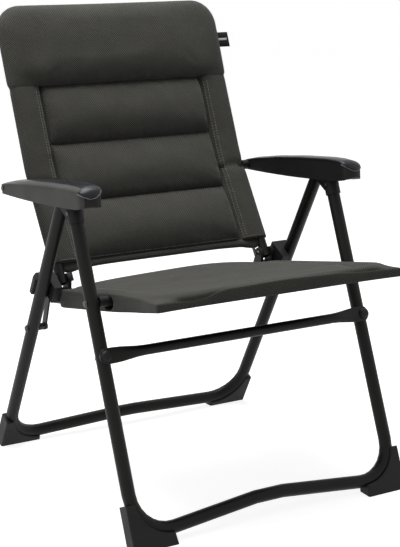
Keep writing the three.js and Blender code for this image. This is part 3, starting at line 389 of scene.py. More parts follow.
def dress(names, material, crease=34):
    """A CAD node gets its material, smooth faces, and hard edges where it turns sharply."""
    for name in names:
        node = frame["nodes"][name]
        node.data.polygons.foreach_set("use_smooth", [True] * len(node.data.polygons))
        node.data.materials.clear()
        node.data.materials.append(material)
        node.modifiers.new("joined", "WELD").merge_threshold = 0.00002
        node.modifiers.new("crease", "EDGE_SPLIT").split_angle = math.radians(crease)


def pair(name):
    """The left and the right node of that name."""
    return [name + "_left", name + "_right"]


frame_paint = coated("frame_paint", (0.009, 0.0088, 0.0082), (0.015, 0.0142, 0.0132),
                     (0.34, 0.46), grain_scale=900, grain_depth=0.0002)
dress(["front_leg_frame", "rear_leg_frame", "seat_frame_tube", "back_frame_tube", "front_crossbar",
       *pair("leg_link")], frame_paint)

# Moulded fittings: feet, knuckles, leg heads, yokes, saddles and spacers are black glass-filled
# nylon, matt, with the spark-eroded grain of the mould.
moulded = coated("moulded", (0.008, 0.008, 0.008), (0.014, 0.014, 0.014),
                 (0.46, 0.60), grain_scale=1400, grain_depth=0.0003, shine=0.2)
dress([*pair("front_foot"), *pair("rear_foot"), *pair("rear_leg_knuckle"),
       *pair("leg_head"), *pair("seat_pivot_spacer"), *pair("seat_yoke"), *pair("leg_saddle"),
       *pair("armrest_spacer"), *pair("crossbar_bolt")], moulded)

# Fasteners: rivets, bolts, pins and the toothed racks are blackened steel, worn bright in
# small patches.
fasteners = coated("fasteners", (0.035, 0.034, 0.033), (0.085, 0.083, 0.080),
                   (0.26, 0.42), grain_scale=2200, grain_depth=0.0001)
fasteners.node_tree.nodes["Principled BSDF"].inputs["Metallic"].default_value = 0.8
dress([*pair("leg_head_rivet"), *pair("seat_pivot_bolt"), *pair("ratchet_pin"), *pair("link_pin"),
       *pair("hinge_pin"), *pair("armrest_pivot_pin"), "back_hem_rod", *pair("armrest_rack_inner"),
       *pair("armrest_rack_outer")], fasteners)

# Armrests: a moulded shell in matt warm grey-black with a smoother cap let into its top, which
# runs down over the nose. The grey is on the outer side and goes on over the cap's outer edge
# as far as the nose; the shell's inner side, its underside and its nose are black, and the black
# on the inner side is painted shade on the side turned away from the light.
armrest_side = coated("armrest_side", (0.057, 0.056, 0.053), (0.074, 0.073, 0.069),
                      (0.52, 0.64), grain_scale=1600, grain_depth=0.0003, shine=0.2)
armrest_top = coated("armrest_top", (0.010, 0.0105, 0.013), (0.015, 0.016, 0.020),
                     (0.24, 0.34), grain_scale=1800, grain_depth=0.0001, shine=0.22)
dress(pair("armrest_shell"), armrest_side)
dress(pair("armrest_cap"), armrest_top, crease=50)
facing_out = 0.4
nose_starts = -0.146
for outward, shell_name, cap_name in zip((-1, 1), pair("armrest_shell"), pair("armrest_cap")):
    shell = frame["nodes"][shell_name].data
    shell.materials.append(moulded)
    # Only faces turned outward keep the grey; the black of the inner faces is painted shade.
    shell.polygons.foreach_set("material_index", [
        int(face.normal.x * outward < facing_out) for face in shell.polygons
    ])
    cap = frame["nodes"][cap_name].data
    cap.materials.append(armrest_side)
    cap.polygons.foreach_set("material_index", [
        int(face.normal.x * outward > facing_out and face.center.y > nose_starts)
        for face in cap.polygons
    ])

# Cap rim: a thin pale bead runs round the nose under each armrest's cap; its pale colour is a painted highlight along
# the cap's edge.
rim_highlight_paint = coated("cap_rim_highlight", (0.20, 0.20, 0.20), (0.26, 0.26, 0.26),
                    (0.3, 0.4), grain_scale=1800, grain_depth=0.0001, shine=0.4)


def new_piece(name, grow, material, smooth=True):
    """A mesh from a function that fills it, smooth, with its material."""
    mesh = bpy.data.meshes.new(name)
    shape = bmesh.new()
    shape.loops.layers.uv.new("weave")
    grow(shape)
    shape.to_mesh(mesh)
    shape.free()
    mesh.polygons.foreach_set("use_smooth", [smooth] * len(mesh.polygons))
    mesh.materials.append(material)
    piece = bpy.data.objects.new(name, mesh)
    scene.collection.objects.link(piece)
    return piece


# The cap's lower edge round the nose: outward from the armrest's middle, forward and up.
armrest_middle = 0.28
rim_points = ((0.0221, -0.1440, 0.6007), (0.0219, -0.1470, 0.6005), (0.0204, -0.1520, 0.5992),
              (0.0161, -0.1575, 0.5968), (0.0065, -0.1615, 0.5938), (0.0000, -0.1618, 0.5940),
              (-0.0062, -0.1615, 0.5952), (-0.0161, -0.1572, 0.6008), (-0.0204, -0.1516, 0.6038),
              (-0.0220, -0.1460, 0.6060))
rim_radius, rim_sides, rim_steps = 0.00055, 6, 4


def smooth_path(points, steps):
    """A smooth curve through the points, in even steps from each to the next."""
    path = []
    last = len(points) - 1
    for index in range(last):
        before, start, end, after = (points[min(max(index + k, 0), last)] for k in (-1, 0, 1, 2))
        for t in (step / steps for step in range(steps)):
            path.append(0.5 * (2 * start + (end - before) * t
                               + (2 * before - 5 * start + 4 * end - after) * t * t
                               + (3 * start - before - 3 * end + after) * t * t * t))
    path.append(points[-1])
    return path


def cap_rim_shape(shape, side):
    """A fine round bead along the cap's lower edge."""
    path = smooth_path([Vector((side * (armrest_middle + out), forward, up))
                        for out, forward, up in rim_points], rim_steps)
    angles = [2 * math.pi * k / rim_sides for k in range(rim_sides)]
    rings = []
    for index, point in enumerate(path):
        run = (path[min(index + 1, len(path) - 1)] - path[max(index - 1, 0)]).normalized()
        beside = run.cross(Vector((0, 0, 1))).normalized()
        above = beside.cross(run)
        rings.append([
            shape.verts.new(point + (beside * math.cos(a) + above * math.sin(a)) * rim_radius)
            for a in angles
        ])
    for ring, past in zip(rings[1:], rings):
        for k in range(rim_sides):
            n = (k + 1) % rim_sides
            shape.faces.new((past[k], past[n], ring[n], ring[k]))
    shape.faces.new(list(reversed(rings[0])))
    shape.faces.new(rings[-1])
    bmesh.ops.recalc_face_normals(shape, faces=shape.faces)


# Each armrest gets its bead, coloured pale as a painted highlight.
for side, name, body in zip((-1, 1), pair("armrest_rim"), pair("armrest")):
    cap_rim_highlight = new_piece(name, lambda shape: cap_rim_shape(shape, side), rim_highlight_paint)
    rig.ride(cap_rim_highlight, body)
    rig.slot(cap_rim_highlight, "armrest_top")

# Cloth: a padded spacer mesh in heathered olive-grey. Thick yarn runs in two diagonals round
# small holes; the weave follows each piece's own UV map, in metres.
weave_group, weave_in, weave_out = new_group(
    "mesh_weave",
    [("Dark", "NodeSocketColor", (0.03, 0.03, 0.027, 1)),
     ("Light", "NodeSocketColor", (0.1, 0.1, 0.09, 1))],
    [("Colour", "NodeSocketColor"), ("Roughness", "NodeSocketFloat"), ("Height", "NodeSocketFloat")],
)
weave_pitch = 0.0032
weave_uv = weave_group.nodes.new("ShaderNodeUVMap")
weave_uv.uv_map = "weave"
weave_turn = weave_group.nodes.new("ShaderNodeMapping")
weave_turn.inputs["Rotation"].default_value = (0, 0, math.radians(45))
weave_group.links.new(weave_uv.outputs["UV"], weave_turn.inputs["Vector"])
yarns = []
for direction in ("X", "Y"):
    yarn = weave_group.nodes.new("ShaderNodeTexWave")
    yarn.bands_direction = direction
    yarn.inputs["Scale"].default_value = 2 * math.pi / (20 * weave_pitch)
    yarn.inputs["Distortion"].default_value = 0.6
    yarn.inputs["Detail Scale"].default_value = 2.0
    weave_group.links.new(weave_turn.outputs["Vector"], yarn.inputs["Vector"])
    yarns.append(yarn.outputs["Fac"])


def joined(operation, first, second):
    """One value worked out from two of the weave's sockets."""
    node = weave_group.nodes.new("ShaderNodeMath")
    node.operation = operation
    weave_group.links.new(first, node.inputs[0])
    weave_group.links.new(second, node.inputs[1])
    return node.outputs[0]


yarn_cross = joined("MAXIMUM", *yarns)
heather = noise_node(weave_group, weave_uv.outputs["UV"], 420, 3).outputs["Fac"]
cloud = noise_node(weave_group, weave_uv.outputs["UV"], 22, 3).outputs["Fac"]
yarn_light = joined("MULTIPLY", ranged(weave_group, yarn_cross, 0.4, 0.95),
                    ranged(weave_group, heather, 0.3, 0.7, 0.55, 1.0))
yarn_tone = joined("MULTIPLY", yarn_light, ranged(weave_group, cloud, 0.3, 0.7, 0.82, 1.0))
weave_group.links.new(
    tinted(weave_group, yarn_tone, weave_in.outputs["Dark"], weave_in.outputs["Light"]),
    weave_out.inputs["Colour"])
weave_group.links.new(ranged(weave_group, heather, 0.3, 0.7, 0.78, 0.94), weave_out.inputs["Roughness"])
weave_group.links.new(yarn_cross, weave_out.inputs["Height"])


def woven(name, dark, light, depth=0.0006):
    """A cloth of the mesh weave in two tones, with a faint sheen."""
    material = bpy.data.materials.new(name)
    material.use_nodes = True
    tree = material.node_tree
    thread = tree.nodes["Principled BSDF"]
    weave = tree.nodes.new("ShaderNodeGroup")
    weave.node_tree = weave_group
    weave.inputs["Dark"].default_value = (*dark, 1)
    weave.inputs["Light"].default_value = (*light, 1)
    thread.inputs["Sheen Weight"].default_value = 0.12
    thread.inputs["Sheen Roughness"].default_value = 0.5
    thread.inputs["Specular IOR Level"].default_value = 0.25
    tree.links.new(weave.outputs["Colour"], thread.inputs["Base Color"])
    tree.links.new(weave.outputs["Roughness"], thread.inputs["Roughness"])
    bump = tree.nodes.new("ShaderNodeBump")
    bump.inputs["Strength"].default_value = 0.6
    bump.inputs["Distance"].default_value = depth
    tree.links.new(weave.outputs["Height"], bump.inputs["Height"])
    tree.links.new(bump.outputs["Normal"], thread.inputs["Normal"])
    return material


cloth = woven("cloth", (0.007, 0.007, 0.0058), (0.112, 0.110, 0.094))


# Seat sleeves: one tube of cloth goes round the U of the seat frame. Its outer face is a flat
# band, deep at the rear, and it is drawn out to a point at each front corner.
mm = 1000
seat_slope = math.radians(11.6)
seat_pivot = Vector((0, -0.150268, 0.403993))


def on_seat(x, y, z):
    """A point of the seat, in mm from its pivots, to the right, to the rear and up."""
    return Vector((
        x / mm,
        seat_pivot.y + (y * math.cos(seat_slope) + z * math.sin(seat_slope)) / mm,
        seat_pivot.z + (z * math.cos(seat_slope) - y * math.sin(seat_slope)) / mm,
    ))


def between(table, at):
    """The value at a place in a table of (place, value) rows, eased from row to row."""
    if at <= table[0][0]:
        return table[0][1]
    for (a, low), (b, high) in zip(table, table[1:]):
        if at <= b:
            share = (at - a) / (b - a)
            share = share * share * (3 - 2 * share)
            return low + (high - low) * share
    return table[-1][1]


seat_rail_x, seat_front_y, seat_rear_y = 233.0, -180.4, 217.0
rail_length = seat_rear_y - seat_front_y
seam_x, seam_front_y = 206.0, -153.0
sling_edge = [(-180, 1.0), (-153, 2.5), (-120, 6.5), (-60, 10.5), (60, 12.0), (217, 13.0)]
sling_middle = [(-180, 10.0), (-153, 8.5), (-110, 5.0), (-50, 5.5), (40, 9.5), (130, 17.0),
                (217, 23.4)]
sling_lean = 1.5


def sling_height(x, y):
    """The stretched panel's height: its seams run level with the sleeves, its middle is crowned."""
    edge = between(sling_edge, y)
    lean = sling_lean * math.sin(math.pi * x / seam_x) * max(0.0, y / seat_rear_y)
    across = 1 - min(1.0, abs(x) / seam_x) ** 2.8
    return edge + (between(sling_middle, y) - edge + lean) * across


def settle(piece, kind, **values):
    """A modifier is added to a piece and applied at once."""
    modifier = piece.modifiers.new("made", kind)
    for key, value in values.items():
        setattr(modifier, key, value)
    bpy.ops.object.select_all(action="DESELECT")
    bpy.context.view_layer.objects.active = piece
    piece.select_set(True)
    bpy.ops.object.modifier_apply(modifier=modifier.name)


def skin_over(shape, rings, closed=True, caps=False, sharp=()):
    """Quads between rings of points, with the weave's UVs measured along both ways."""
    weave = shape.loops.layers.uv["weave"]
    rows = [[shape.verts.new(p) for p in ring] for ring in rings]
    count = len(rows[0])
    around = [[0.0] for _ in rows]
    for row, ring in enumerate(rings):
        for k in range(count):
            around[row].append(around[row][-1] + (ring[(k + 1) % count] - ring[k]).length)
    along = [[0.0] * (count + 1)]
    for ring, past in zip(rings[1:], rings):
        step = [(ring[k % count] - past[k % count]).length for k in range(count + 1)]
        mean = sum(step) / len(step)
        along.append([value + mean for value in along[-1]])
    for row in range(len(rows) - 1):
        for k in range(count if closed else count - 1):
            n = (k + 1) % count
            face = shape.faces.new((rows[row][k], rows[row][n], rows[row + 1][n], rows[row + 1][k]))
            spots = ((row, k), (row, k + 1), (row + 1, k + 1), (row + 1, k))
            for loop, (r, c) in zip(face.loops, spots):
                loop[weave].uv = (along[r][c], around[r][c])
    if sharp:
        firm = shape.edges.layers.float.new("crease_edge")
        for row, past in zip(rows[1:], rows):
            for k, value in sharp:
                shape.edges.get((row[k], past[k]))[firm] = value
    if caps:
        shape.faces.new(list(reversed(rows[0])))
        shape.faces.new(rows[-1])
    return rows


corner_radius, corner_nearest = 40, 11.7


def tube_shift(left):
    """How far the seat tube's centre has turned in from the sharp corner, this far from it."""
    into = max(0.0, corner_radius - max(left, corner_nearest))
    return corner_radius - math.sqrt(max(0.0, corner_radius ** 2 - into ** 2))


sleeve_radius = 13.5
face_out = 15


def sleeve_ring(face_top, face_low, point, shift, seam_top, place):
    """Sixteen points round the sleeve: over the tube, down the flat face and back below."""
    edge = face_out + point
    centre = -shift
    turn = math.asin(min(1.0, (face_top + 3) / sleeve_radius)) if face_top > -3 else 0.0
    ring = [(seam_top[0], seam_top[1])]
    over = sleeve_radius if face_top > 9 else sleeve_radius - 0.3
    for share, rise in ((0.3, 0.42), (0.64, 0.82)):
        o = seam_top[0] + (centre - seam_top[0]) * share
        ring.append((o, seam_top[1] + (over - seam_top[1]) * rise))
    for step in range(4):
        angle = math.pi / 2 + (turn - math.pi / 2) * step / 3 * 0.8
        ring.append((centre + sleeve_radius * math.cos(angle) + step * 0.9,
                     sleeve_radius * math.sin(angle)))
    ring += [(edge - 1.2, face_top + 0.7), (edge, face_top - 1.0)]
    ring.append((edge + 0.3, (face_top + face_low) / 2))
    ring += [(edge, face_low + 1.0), (edge - 1.2, face_low - 0.5)]
    ring += [(centre + 7, min(face_low + 2, -13.2)), (centre - 5, -13.4), (centre - 14, -8.5)]
    ring.append((seam_top[0], seam_top[1] - 2.6))
    return [place(o, z) for o, z in ring]


# Heights of the flat face and reach of the corner's point, by the share of the way along.
side_top = [(0, 12), (0.62, 11.5), (0.8, 8.0), (1, 0.6)]
side_low = [(0, -20), (0.55, -20), (0.8, -17.5), (1, -14)]
front_top = [(0, 0.6), (0.15, -2.4), (0.27, 9.0), (0.5, 10.5), (0.72, 8.0), (0.85, 3.0), (1, 0.6)]
front_low = [(0, -14), (0.2, -13.5), (0.8, -13.5), (1, -14)]
corner_point = [(0, 0), (0.78, 0), (1, 8)]
side_shares = [0, 0.07, 0.14, 0.21, 0.28, 0.35, 0.42, 0.48, 0.54, 0.6, 0.66, 0.72, 0.77, 0.82, 0.86,
               0.9, 0.94, 0.975]
front_steps = 34
seam_above = 1.0
mouth_radius, mouth_depth = 0.0113, 9
firm_edges = ((0, 0.5), (7, 0.55), (8, 0.55), (10, 0.55), (11, 0.55), (15, 0.6))


def side_ring(side, t):
    """The sleeve's ring at a share of the way along a side rail, from the rear."""
    def place(o, z):
        return on_seat(side * (seat_rail_x + o), seat_rear_y - t * (rail_length + o), z)
    y = seat_rear_y - t * rail_length
    seam = (seam_x - seat_rail_x, sling_height(seam_x, max(y, seam_front_y)) + seam_above)
    return sleeve_ring(between(side_top, t), between(side_low, t), between(corner_point, t),
                       tube_shift((1 - t) * rail_length), seam, place)


def front_ring(s):
    """The sleeve's ring at a share of the way along the front bar, from the left."""
    off_middle = 2 * s - 1

    def place(o, z):
        return on_seat((seat_rail_x + o) * off_middle, seat_front_y - o, z)
    seam = (seam_x - seat_rail_x, sling_height(seat_rail_x * off_middle * 0.88, seam_front_y) + seam_above)
    at_corner = abs(off_middle) == 1
    point = between(corner_point, abs(off_middle)) * (1 if at_corner else 0.5)
    return sleeve_ring(between(front_top, s), between(front_low, s), point,
                       tube_shift((1 - abs(off_middle)) * seat_rail_x), seam, place)


def sleeve_mouth(ring, side):
    """The turned-in rim at a rear end of the sleeve: a smaller ring and one deeper inside."""
    end, inside = (on_seat(side * seat_rail_x, y, 0) for y in (seat_rear_y, seat_rear_y - mouth_depth))
    outs = [(point - end).normalized() * mouth_radius for point in ring]
    return [end + out for out in outs], [inside + out for out in outs]


def seat_sleeves_shape(shape):
    """The whole sleeve: up the left rail from the rear, across the front and back on the right."""
    rings = [side_ring(-1, t) for t in side_shares]
    rings += [front_ring(k / front_steps) for k in range(front_steps + 1)]
    rings += [side_ring(1, t) for t in reversed(side_shares)]
    left_mouth, left_deep = sleeve_mouth(rings[0], -1)
    right_mouth, right_deep = sleeve_mouth(rings[-1], 1)
    rings = [left_deep, left_mouth, *rings, right_mouth, right_deep]
    skin_over(shape, rings, caps=True, sharp=firm_edges)
    bmesh.ops.recalc_face_normals(shape, faces=shape.faces)


seat_sleeves = new_piece("seat_sleeves", seat_sleeves_shape, cloth)
settle(seat_sleeves, "SUBSURF", levels=2, render_levels=2)
window_out, window_down = 12, -4
window_size = (0.0135, 0.021, 0.026)
for side in (-1, 1):
    bpy.ops.object.select_all(action="DESELECT")
    bpy.ops.mesh.primitive_cylinder_add(vertices=40, radius=1, depth=1, rotation=(0, math.pi / 2, 0))
    window_cutter = bpy.context.object
    middle = on_seat(side * (seat_rail_x + window_out), 0, window_down)
    turn = Matrix.Rotation(-seat_slope, 4, "X") @ Matrix.Rotation(math.pi / 2, 4, "Y")
    window_cutter.matrix_world = (
        Matrix.Translation(middle) @ turn @ Matrix.Diagonal((*window_size, 1))
    )
    settle(seat_sleeves, "BOOLEAN", object=window_cutter, operation="DIFFERENCE", solver="EXACT")
    bpy.data.objects.remove(window_cutter)
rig.ride(seat_sleeves, "seat")
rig.replaces(seat_sleeves, "seat_cover")
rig.slot(seat_sleeves, "fabric")
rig.padded(seat_sleeves, fill=0.4)

# Seat sling: a single stretched panel of the same mesh, whose edges are sewn in under the
# sleeves. It lies flat in front and is drawn up to a crown at its rear edge, with one long soft
# crease across it.
sling_half, sling_front = seam_x + 3.5, seam_front_y - 4.0
sling_columns, sling_lines = 72, 64
crease_line = [(-158, 6), (19, 140), (126, 189), (198, 150)]
crease_width, crease_depth = 5.0, 1.5
crease_fade_left, crease_fade_right = 90, 40


def crease_at(x, y):
    """How deep the crease is at a point, from nought to one: it fades out at both its ends."""
    depth = 0.0
    first, last = crease_line[0][0], crease_line[-1][0]
    for (ax, ay), (bx, by) in zip(crease_line, crease_line[1:]):
        length = math.hypot(bx - ax, by - ay)
        along = ((x - ax) * (bx - ax) + (y - ay) * (by - ay)) / length ** 2
        reached = ax + along * (bx - ax)
        fade = min(1.0, (reached - first) / crease_fade_left, (last - reached) / crease_fade_right)
        if 0 <= along <= 1 and fade > 0:
            off = ((x - ax) * (by - ay) - (y - ay) * (bx - ax)) / length
            depth = max(depth, fade * math.exp(-(off / crease_width) ** 2))
    return depth


def seat_sling_shape(shape):
    """The panel as a grid, with slow ripples in its middle and puckers along its seams."""
    rows = []
    for j in range(sling_lines + 1):
        y = sling_front + (seat_rear_y - sling_front) * j / sling_lines
        row = []
        for i in range(sling_columns + 1):
            x = -sling_half + 2 * sling_half * i / sling_columns
            away = min(sling_half - abs(x), y - sling_front)
            ripple = noise.noise(Vector((x / 46, y / 46, 3.1))) * 1.1 * min(1, away / 40)
            pucker = noise.noise(Vector((x / 9, y / 30, 1.7))) * 0.7 * math.exp(-(away / 14) ** 2)
            z = sling_height(x, y) + ripple + pucker - crease_depth * crease_at(x, y)
            row.append(on_seat(x, y, z))
        rows.append(row)
    skin_over(shape, rows, closed=False)
    bmesh.ops.recalc_face_normals(shape, faces=shape.faces)
    if sum(f.normal.z for f in shape.faces) < 0:
        bmesh.ops.reverse_faces(shape, faces=shape.faces)


seat_sling = new_piece("seat_sling", seat_sling_shape, cloth)
settle(seat_sling, "SOLIDIFY", thickness=0.0018, offset=-1)
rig.ride(seat_sling, "seat")
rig.replaces(seat_sling, "seat_cover")
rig.slot(seat_sling, "fabric")


hem_stations, hem_sides = 60, 10
hem_reach, hem_thick, hem_drop = 3.2, 2.6, 1.6


def seat_hem_shape(shape):
    """The rolled hem that follows the sling's rear edge from seam to seam."""
    rings = []
    for i in range(hem_stations + 1):
        x = -sling_half + 2 * sling_half * i / hem_stations
        z = sling_height(x, seat_rear_y) - hem_drop
        angles = [2 * math.pi * k / hem_sides for k in range(hem_sides)]
        rings.append([
            on_seat(x, seat_rear_y + hem_reach * math.cos(a), z + hem_thick * math.sin(a)) for a in angles
        ])
    skin_over(shape, rings, caps=True)
    bmesh.ops.recalc_face_normals(shape, faces=shape.faces)


seat_rear_hem = new_piece("seat_rear_hem", seat_hem_shape, cloth)
settle(seat_rear_hem, "SUBSURF", levels=1, render_levels=1)
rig.ride(seat_rear_hem, "seat")
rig.slot(seat_rear_hem, "fabric")
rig.sheet(seat_sling, flat=(0.421, 0.376), held="stretched", rests_on=["seat_frame_tube"],
         with_pieces=[seat_rear_hem])

# Back padding: the quilted middle has three stuffed channels, drawn down at two seams across
# and sewn into the surround at its sides and top.
back_hinge = Vector((0, 0.079208, 0.388024))
back_lean = math.radians(33.7)
back_bend, bend_radius = math.radians(10.4), 250.0
bend_from = 225 - bend_radius * math.tan(back_bend / 2)


def on_back(x, up, forward):
    """A point of the back, in mm from its hinge: to the right, up the bent frame and forward."""
    bent = min(max((up - bend_from) / bend_radius, 0.0), back_bend)
    past = max(0.0, up - bend_from - bend_radius * back_bend)
    y = -bend_radius * (1 - math.cos(bent)) - past * math.sin(bent) - forward * math.cos(bent)
    z = min(up, bend_from) + bend_radius * math.sin(bent) + past * math.cos(bent) - forward * math.sin(bent)
    return Vector((
        x / mm,
        back_hinge.y + (y * math.cos(back_lean) + z * math.sin(back_lean)) / mm,
        back_hinge.z + (z * math.cos(back_lean) - y * math.sin(back_lean)) / mm,
    ))


panel_half, panel_low, head_low, head_top = 183.0, 32.0, 401.0, 569.0
seams_up = (158.0, 280.0, head_low)


def steps_between(low, high, pitch, at_low=(), at_high=()):
    """Places from low to high, close together near either end."""
    low_steps = [low + s for s in at_low]
    high_steps = [high - s for s in reversed(at_high)]
    start = low_steps[-1] if low_steps else low
    end = high_steps[0] if high_steps else high
    count = max(1, round((end - start) / pitch))
    middle = [start + (end - start) * k / count for k in range(count + 1)]
    return (low_steps[:-1] if low_steps else []) + middle + (high_steps[1:] if high_steps else [])


seam_held = 3


def padded_shell(shape, columns, lines, kept, spot, front, rear, sag):
    """A closed pad: a front and a rear skin over the kept cells of a grid, joined at the rim."""
    weave = shape.loops.layers.uv["weave"]
    held = shape.verts.layers.float.new("held")
    places = {}
    verts = {}

    def vert(i, j, side):
        key = (i, j, side)
        if key not in verts:
            x, up = spot(columns[i], lines[j])
            height = front(x, up) if side else rear(x, up)
            drop = sag(up) * height / 20 if side else 0
            verts[key] = shape.verts.new(on_back(x, up - drop, height))
            places[key] = (x / mm, up / mm)
            verts[key][held] = held_at(x, up, side)
        return verts[key]

    def held_at(x, up, side):
        if not side:
            return 1.0
        near = min([abs(up - s) for s in seams_up] + [abs(abs(x) - panel_half), abs(up - panel_low)])
        return 1.0 if near < seam_held else 0.0

    def skin(keys):
        try:
            face = shape.faces.new([vert(*key) for key in keys])
        except ValueError:
            return
        for loop, key in zip(face.loops, keys):
            loop[weave].uv = places[key]

    for i in range(len(columns) - 1):
        for j in range(len(lines) - 1):
            if not kept(i, j):
                continue
            skin([(i, j, 1), (i + 1, j, 1), (i + 1, j + 1, 1), (i, j + 1, 1)])
            skin([(i, j, 0), (i, j + 1, 0), (i + 1, j + 1, 0), (i + 1, j, 0)])
            for (a, b), near in (
                (((i, j), (i + 1, j)), (i, j - 1)), (((i + 1, j), (i + 1, j + 1)), (i + 1, j)),
                (((i + 1, j + 1), (i, j + 1)), (i, j + 1)), (((i, j + 1), (i, j)), (i - 1, j)),
            ):
                inside = 0 <= near[0] < len(columns) - 1 and 0 <= near[1] < len(lines) - 1 and kept(*near)
                if not inside:
                    skin([(*a, 0), (*b, 0), (*b, 1), (*a, 1)])
                    for key in ((*a, 1), (*b, 1)):
                        verts[key][held] = 1.0
    bmesh.ops.remove_doubles(shape, verts=shape.verts, dist=0.00001)
    bmesh.ops.recalc_face_normals(shape, faces=shape.faces)


stuffing_frames = 20
stuffing_pressure = 4.0


def stuff(piece, most):
    """The pad is blown up by cloth simulation from its held seams, and no point moves too far."""
    held = piece.vertex_groups.new(name="held")
    values = [0.0] * len(piece.data.vertices)
    piece.data.attributes["held"].data.foreach_get("value", values)
    for index, value in enumerate(values):
        if value > 0.5:
            held.add([index], 1.0, "REPLACE")
    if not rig.quick():
        before = [v.co.copy() for v in piece.data.vertices]
        cloth_sim = piece.modifiers.new("stuffing", "CLOTH")
        cloth_sim.settings.use_pressure = True
        cloth_sim.settings.uniform_pressure_force = stuffing_pressure
        cloth_sim.settings.effector_weights.gravity = 0
        cloth_sim.settings.vertex_group_mass = "held"
        cloth_sim.settings.tension_stiffness = 8
        cloth_sim.settings.compression_stiffness = 8
        cloth_sim.settings.bending_stiffness = 1.5
        for step in range(1, stuffing_frames + 1):
            scene.frame_set(step)
        bpy.ops.object.select_all(action="DESELECT")
        bpy.context.view_layer.objects.active = piece
        piece.select_set(True)
        bpy.ops.object.modifier_apply(modifier=cloth_sim.name)
        scene.frame_set(1)
        for vertex, start in zip(piece.data.vertices, before):
            moved = vertex.co - start
            if moved.length > most:
                vertex.co = start + moved * (most / moved.length)
    settle(piece, "SUBSURF", levels=1, render_levels=1)


def eased(share):
    """A quarter round: steep where it starts and level where it ends."""
    share = min(max(share, 0.0), 1.0)
    return math.sqrt(1 - (1 - share) ** 2)


pucker_depth, pucker_width = 3.2, 13
dent_depth = 1.6


def gathers(x, up, away, along):
    """Small puckers that run out from a seam, and slow dents in the stuffing."""
    small = noise.noise(Vector((x / 40, up / 40, along / 5))) * math.exp(-(away / pucker_width) ** 2)
    slow = noise.noise(Vector((x / 70, up / 55, 4.2)))
    return small * pucker_depth + slow * dent_depth * min(1.0, away / 30)


channel_depth, groove_depth, crown_share = 21.0, 1.2, 0.44


def channel_height(x, up):
    """A channel's front: blunt over its crown, below its middle, and deep down in the grooves."""
    starts = (panel_low, *seams_up)
    channel = max(0, min(2, sum(up >= s for s in seams_up)))
    low, high = starts[channel], starts[channel + 1]
    crown = low + crown_share * (high - low)
    turn = min(1.0, (crown - up) / (crown - low) if up < crown else (up - crown) / (high - crown))
    dome = (1 - turn ** 2.5) ** 0.6
    side = eased((panel_half - abs(x)) / 20)
    away = min(panel_half - abs(x), up - low, high - up)
    along = up if panel_half - abs(x) < min(up - low, high - up) else x
    return (channel_depth * dome + gathers(x, up, away, along) * min(1, away / 4)) * side - groove_depth


grid_pitch = 6
seam_fine = (0, 1.2, 3.2, 6.5, 11)
panel_columns = steps_between(-panel_half, panel_half, grid_pitch, seam_fine, seam_fine)
panel_lines = [panel_low]
for low, high in zip((panel_low, *seams_up), seams_up):
    panel_lines += steps_between(low, high, grid_pitch, seam_fine, seam_fine)[1:]
channel_rear, channel_sag = -4.0, 5.0


def back_channels_shape(shape):
    """The three channels as one closed pad."""
    padded_shell(shape, panel_columns, panel_lines, lambda i, j: True, lambda x, up: (x, up),
                 channel_height, lambda x, up: channel_rear, lambda up: channel_sag)


back_channels = new_piece("back_channels", back_channels_shape, cloth)
stuff(back_channels, most=0.0055)
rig.ride(back_channels, "back")
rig.replaces(back_channels, "back_cushion")
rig.slot(back_channels, "fabric")
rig.padded(back_channels, fill=0.8)


# Back surround: one piece of the same cloth wraps the side tubes and swells into the head pad,
# which folds over the top bar. It is creased where each armrest is pinned through it.
band_from, band_to, head_wider = 187.0, 247.0, 3.0
corner_round = 52.0
pin_up = 200


def half_width(up):
    """Half the surround's width: drawn in at the armrest pins and under the wider head pad."""
    head = min(max((up - 388) / 22, 0.0), 1.0)
    pin = 3.2 * math.exp(-((up - 201) / 11) ** 2)
    notch = 2.4 * math.exp(-((up - 400) / 6) ** 2)
    return band_to + head_wider * head * head * (3 - 2 * head) - notch - pin


def rounded(column, up):
    """The grid's outer columns follow the outline, and its top corners are drawn round."""
    half = half_width(up)
    x = column
    if abs(column) > band_from:
        share = (abs(column) - band_from) / (band_to - band_from)
        x = math.copysign(band_from + share * (half - band_from), column)
    dx, du = abs(x) - (half - corner_round), up - (head_top - corner_round)
    if dx > 0 and du > 0:
        scale = max(dx, du) / math.hypot(dx, du)
        return math.copysign(half - corner_round + dx * scale, x), head_top - corner_round + du * scale
    return x, up


def to_rim(x, up):
    """How far a point lies inside the rounded outline."""
    half = half_width(min(up, head_top - corner_round))
    dx, du = abs(x) - (half - corner_round), up - (head_top - corner_round)
    if dx > 0 and du > 0:
        return max(0.0, corner_round - math.hypot(dx, du))
    return max(0.0, min(half - abs(x), head_top - up))


def rim_turn(rim, radius):
    """The quarter round by which the pad closes at its rim."""
    return eased(rim / radius)


seam_depth, band_step, band_swell, head_swell = 1.5, 4.6, 6.7, 24.5
rear_depth, rear_over_tube, rear_round = 6.0, 7.4, 13.4


def surround_front(x, up):
    """The front: a flat stitched edge and a low band at the sides, a deep head pad above."""
    out, above = max(abs(x) - band_from, 0.0), max(up - head_low, 0.0)
    away = math.hypot(out, above)
    turn = math.atan2(above, out) / (math.pi / 2) if away > 0 else 0.0
    turn = turn * turn * (3 - 2 * turn)
    band = seam_depth + band_step * eased(away / 6) + band_swell * eased(away / 28)
    crown = 1 - 0.25 * max(0.0, 1 - (head_top - up) / 75) ** 2
    head = seam_depth + head_swell * eased(away / 58) * crown
    height = band + (head - band) * turn
    crease = 4.0 * math.exp(-((up - pin_up) / 8) ** 2) * min(1.0, max(0.0, abs(x) - 188) / 12)
    along = up if turn < 0.5 else x
    rim = to_rim(x, up)
    soft = gathers(x, up, away, along) * min(1.0, away / 5) * min(1.0, rim / 12)
    return (height - crease + soft) * rim_turn(rim, max(8.0, height))


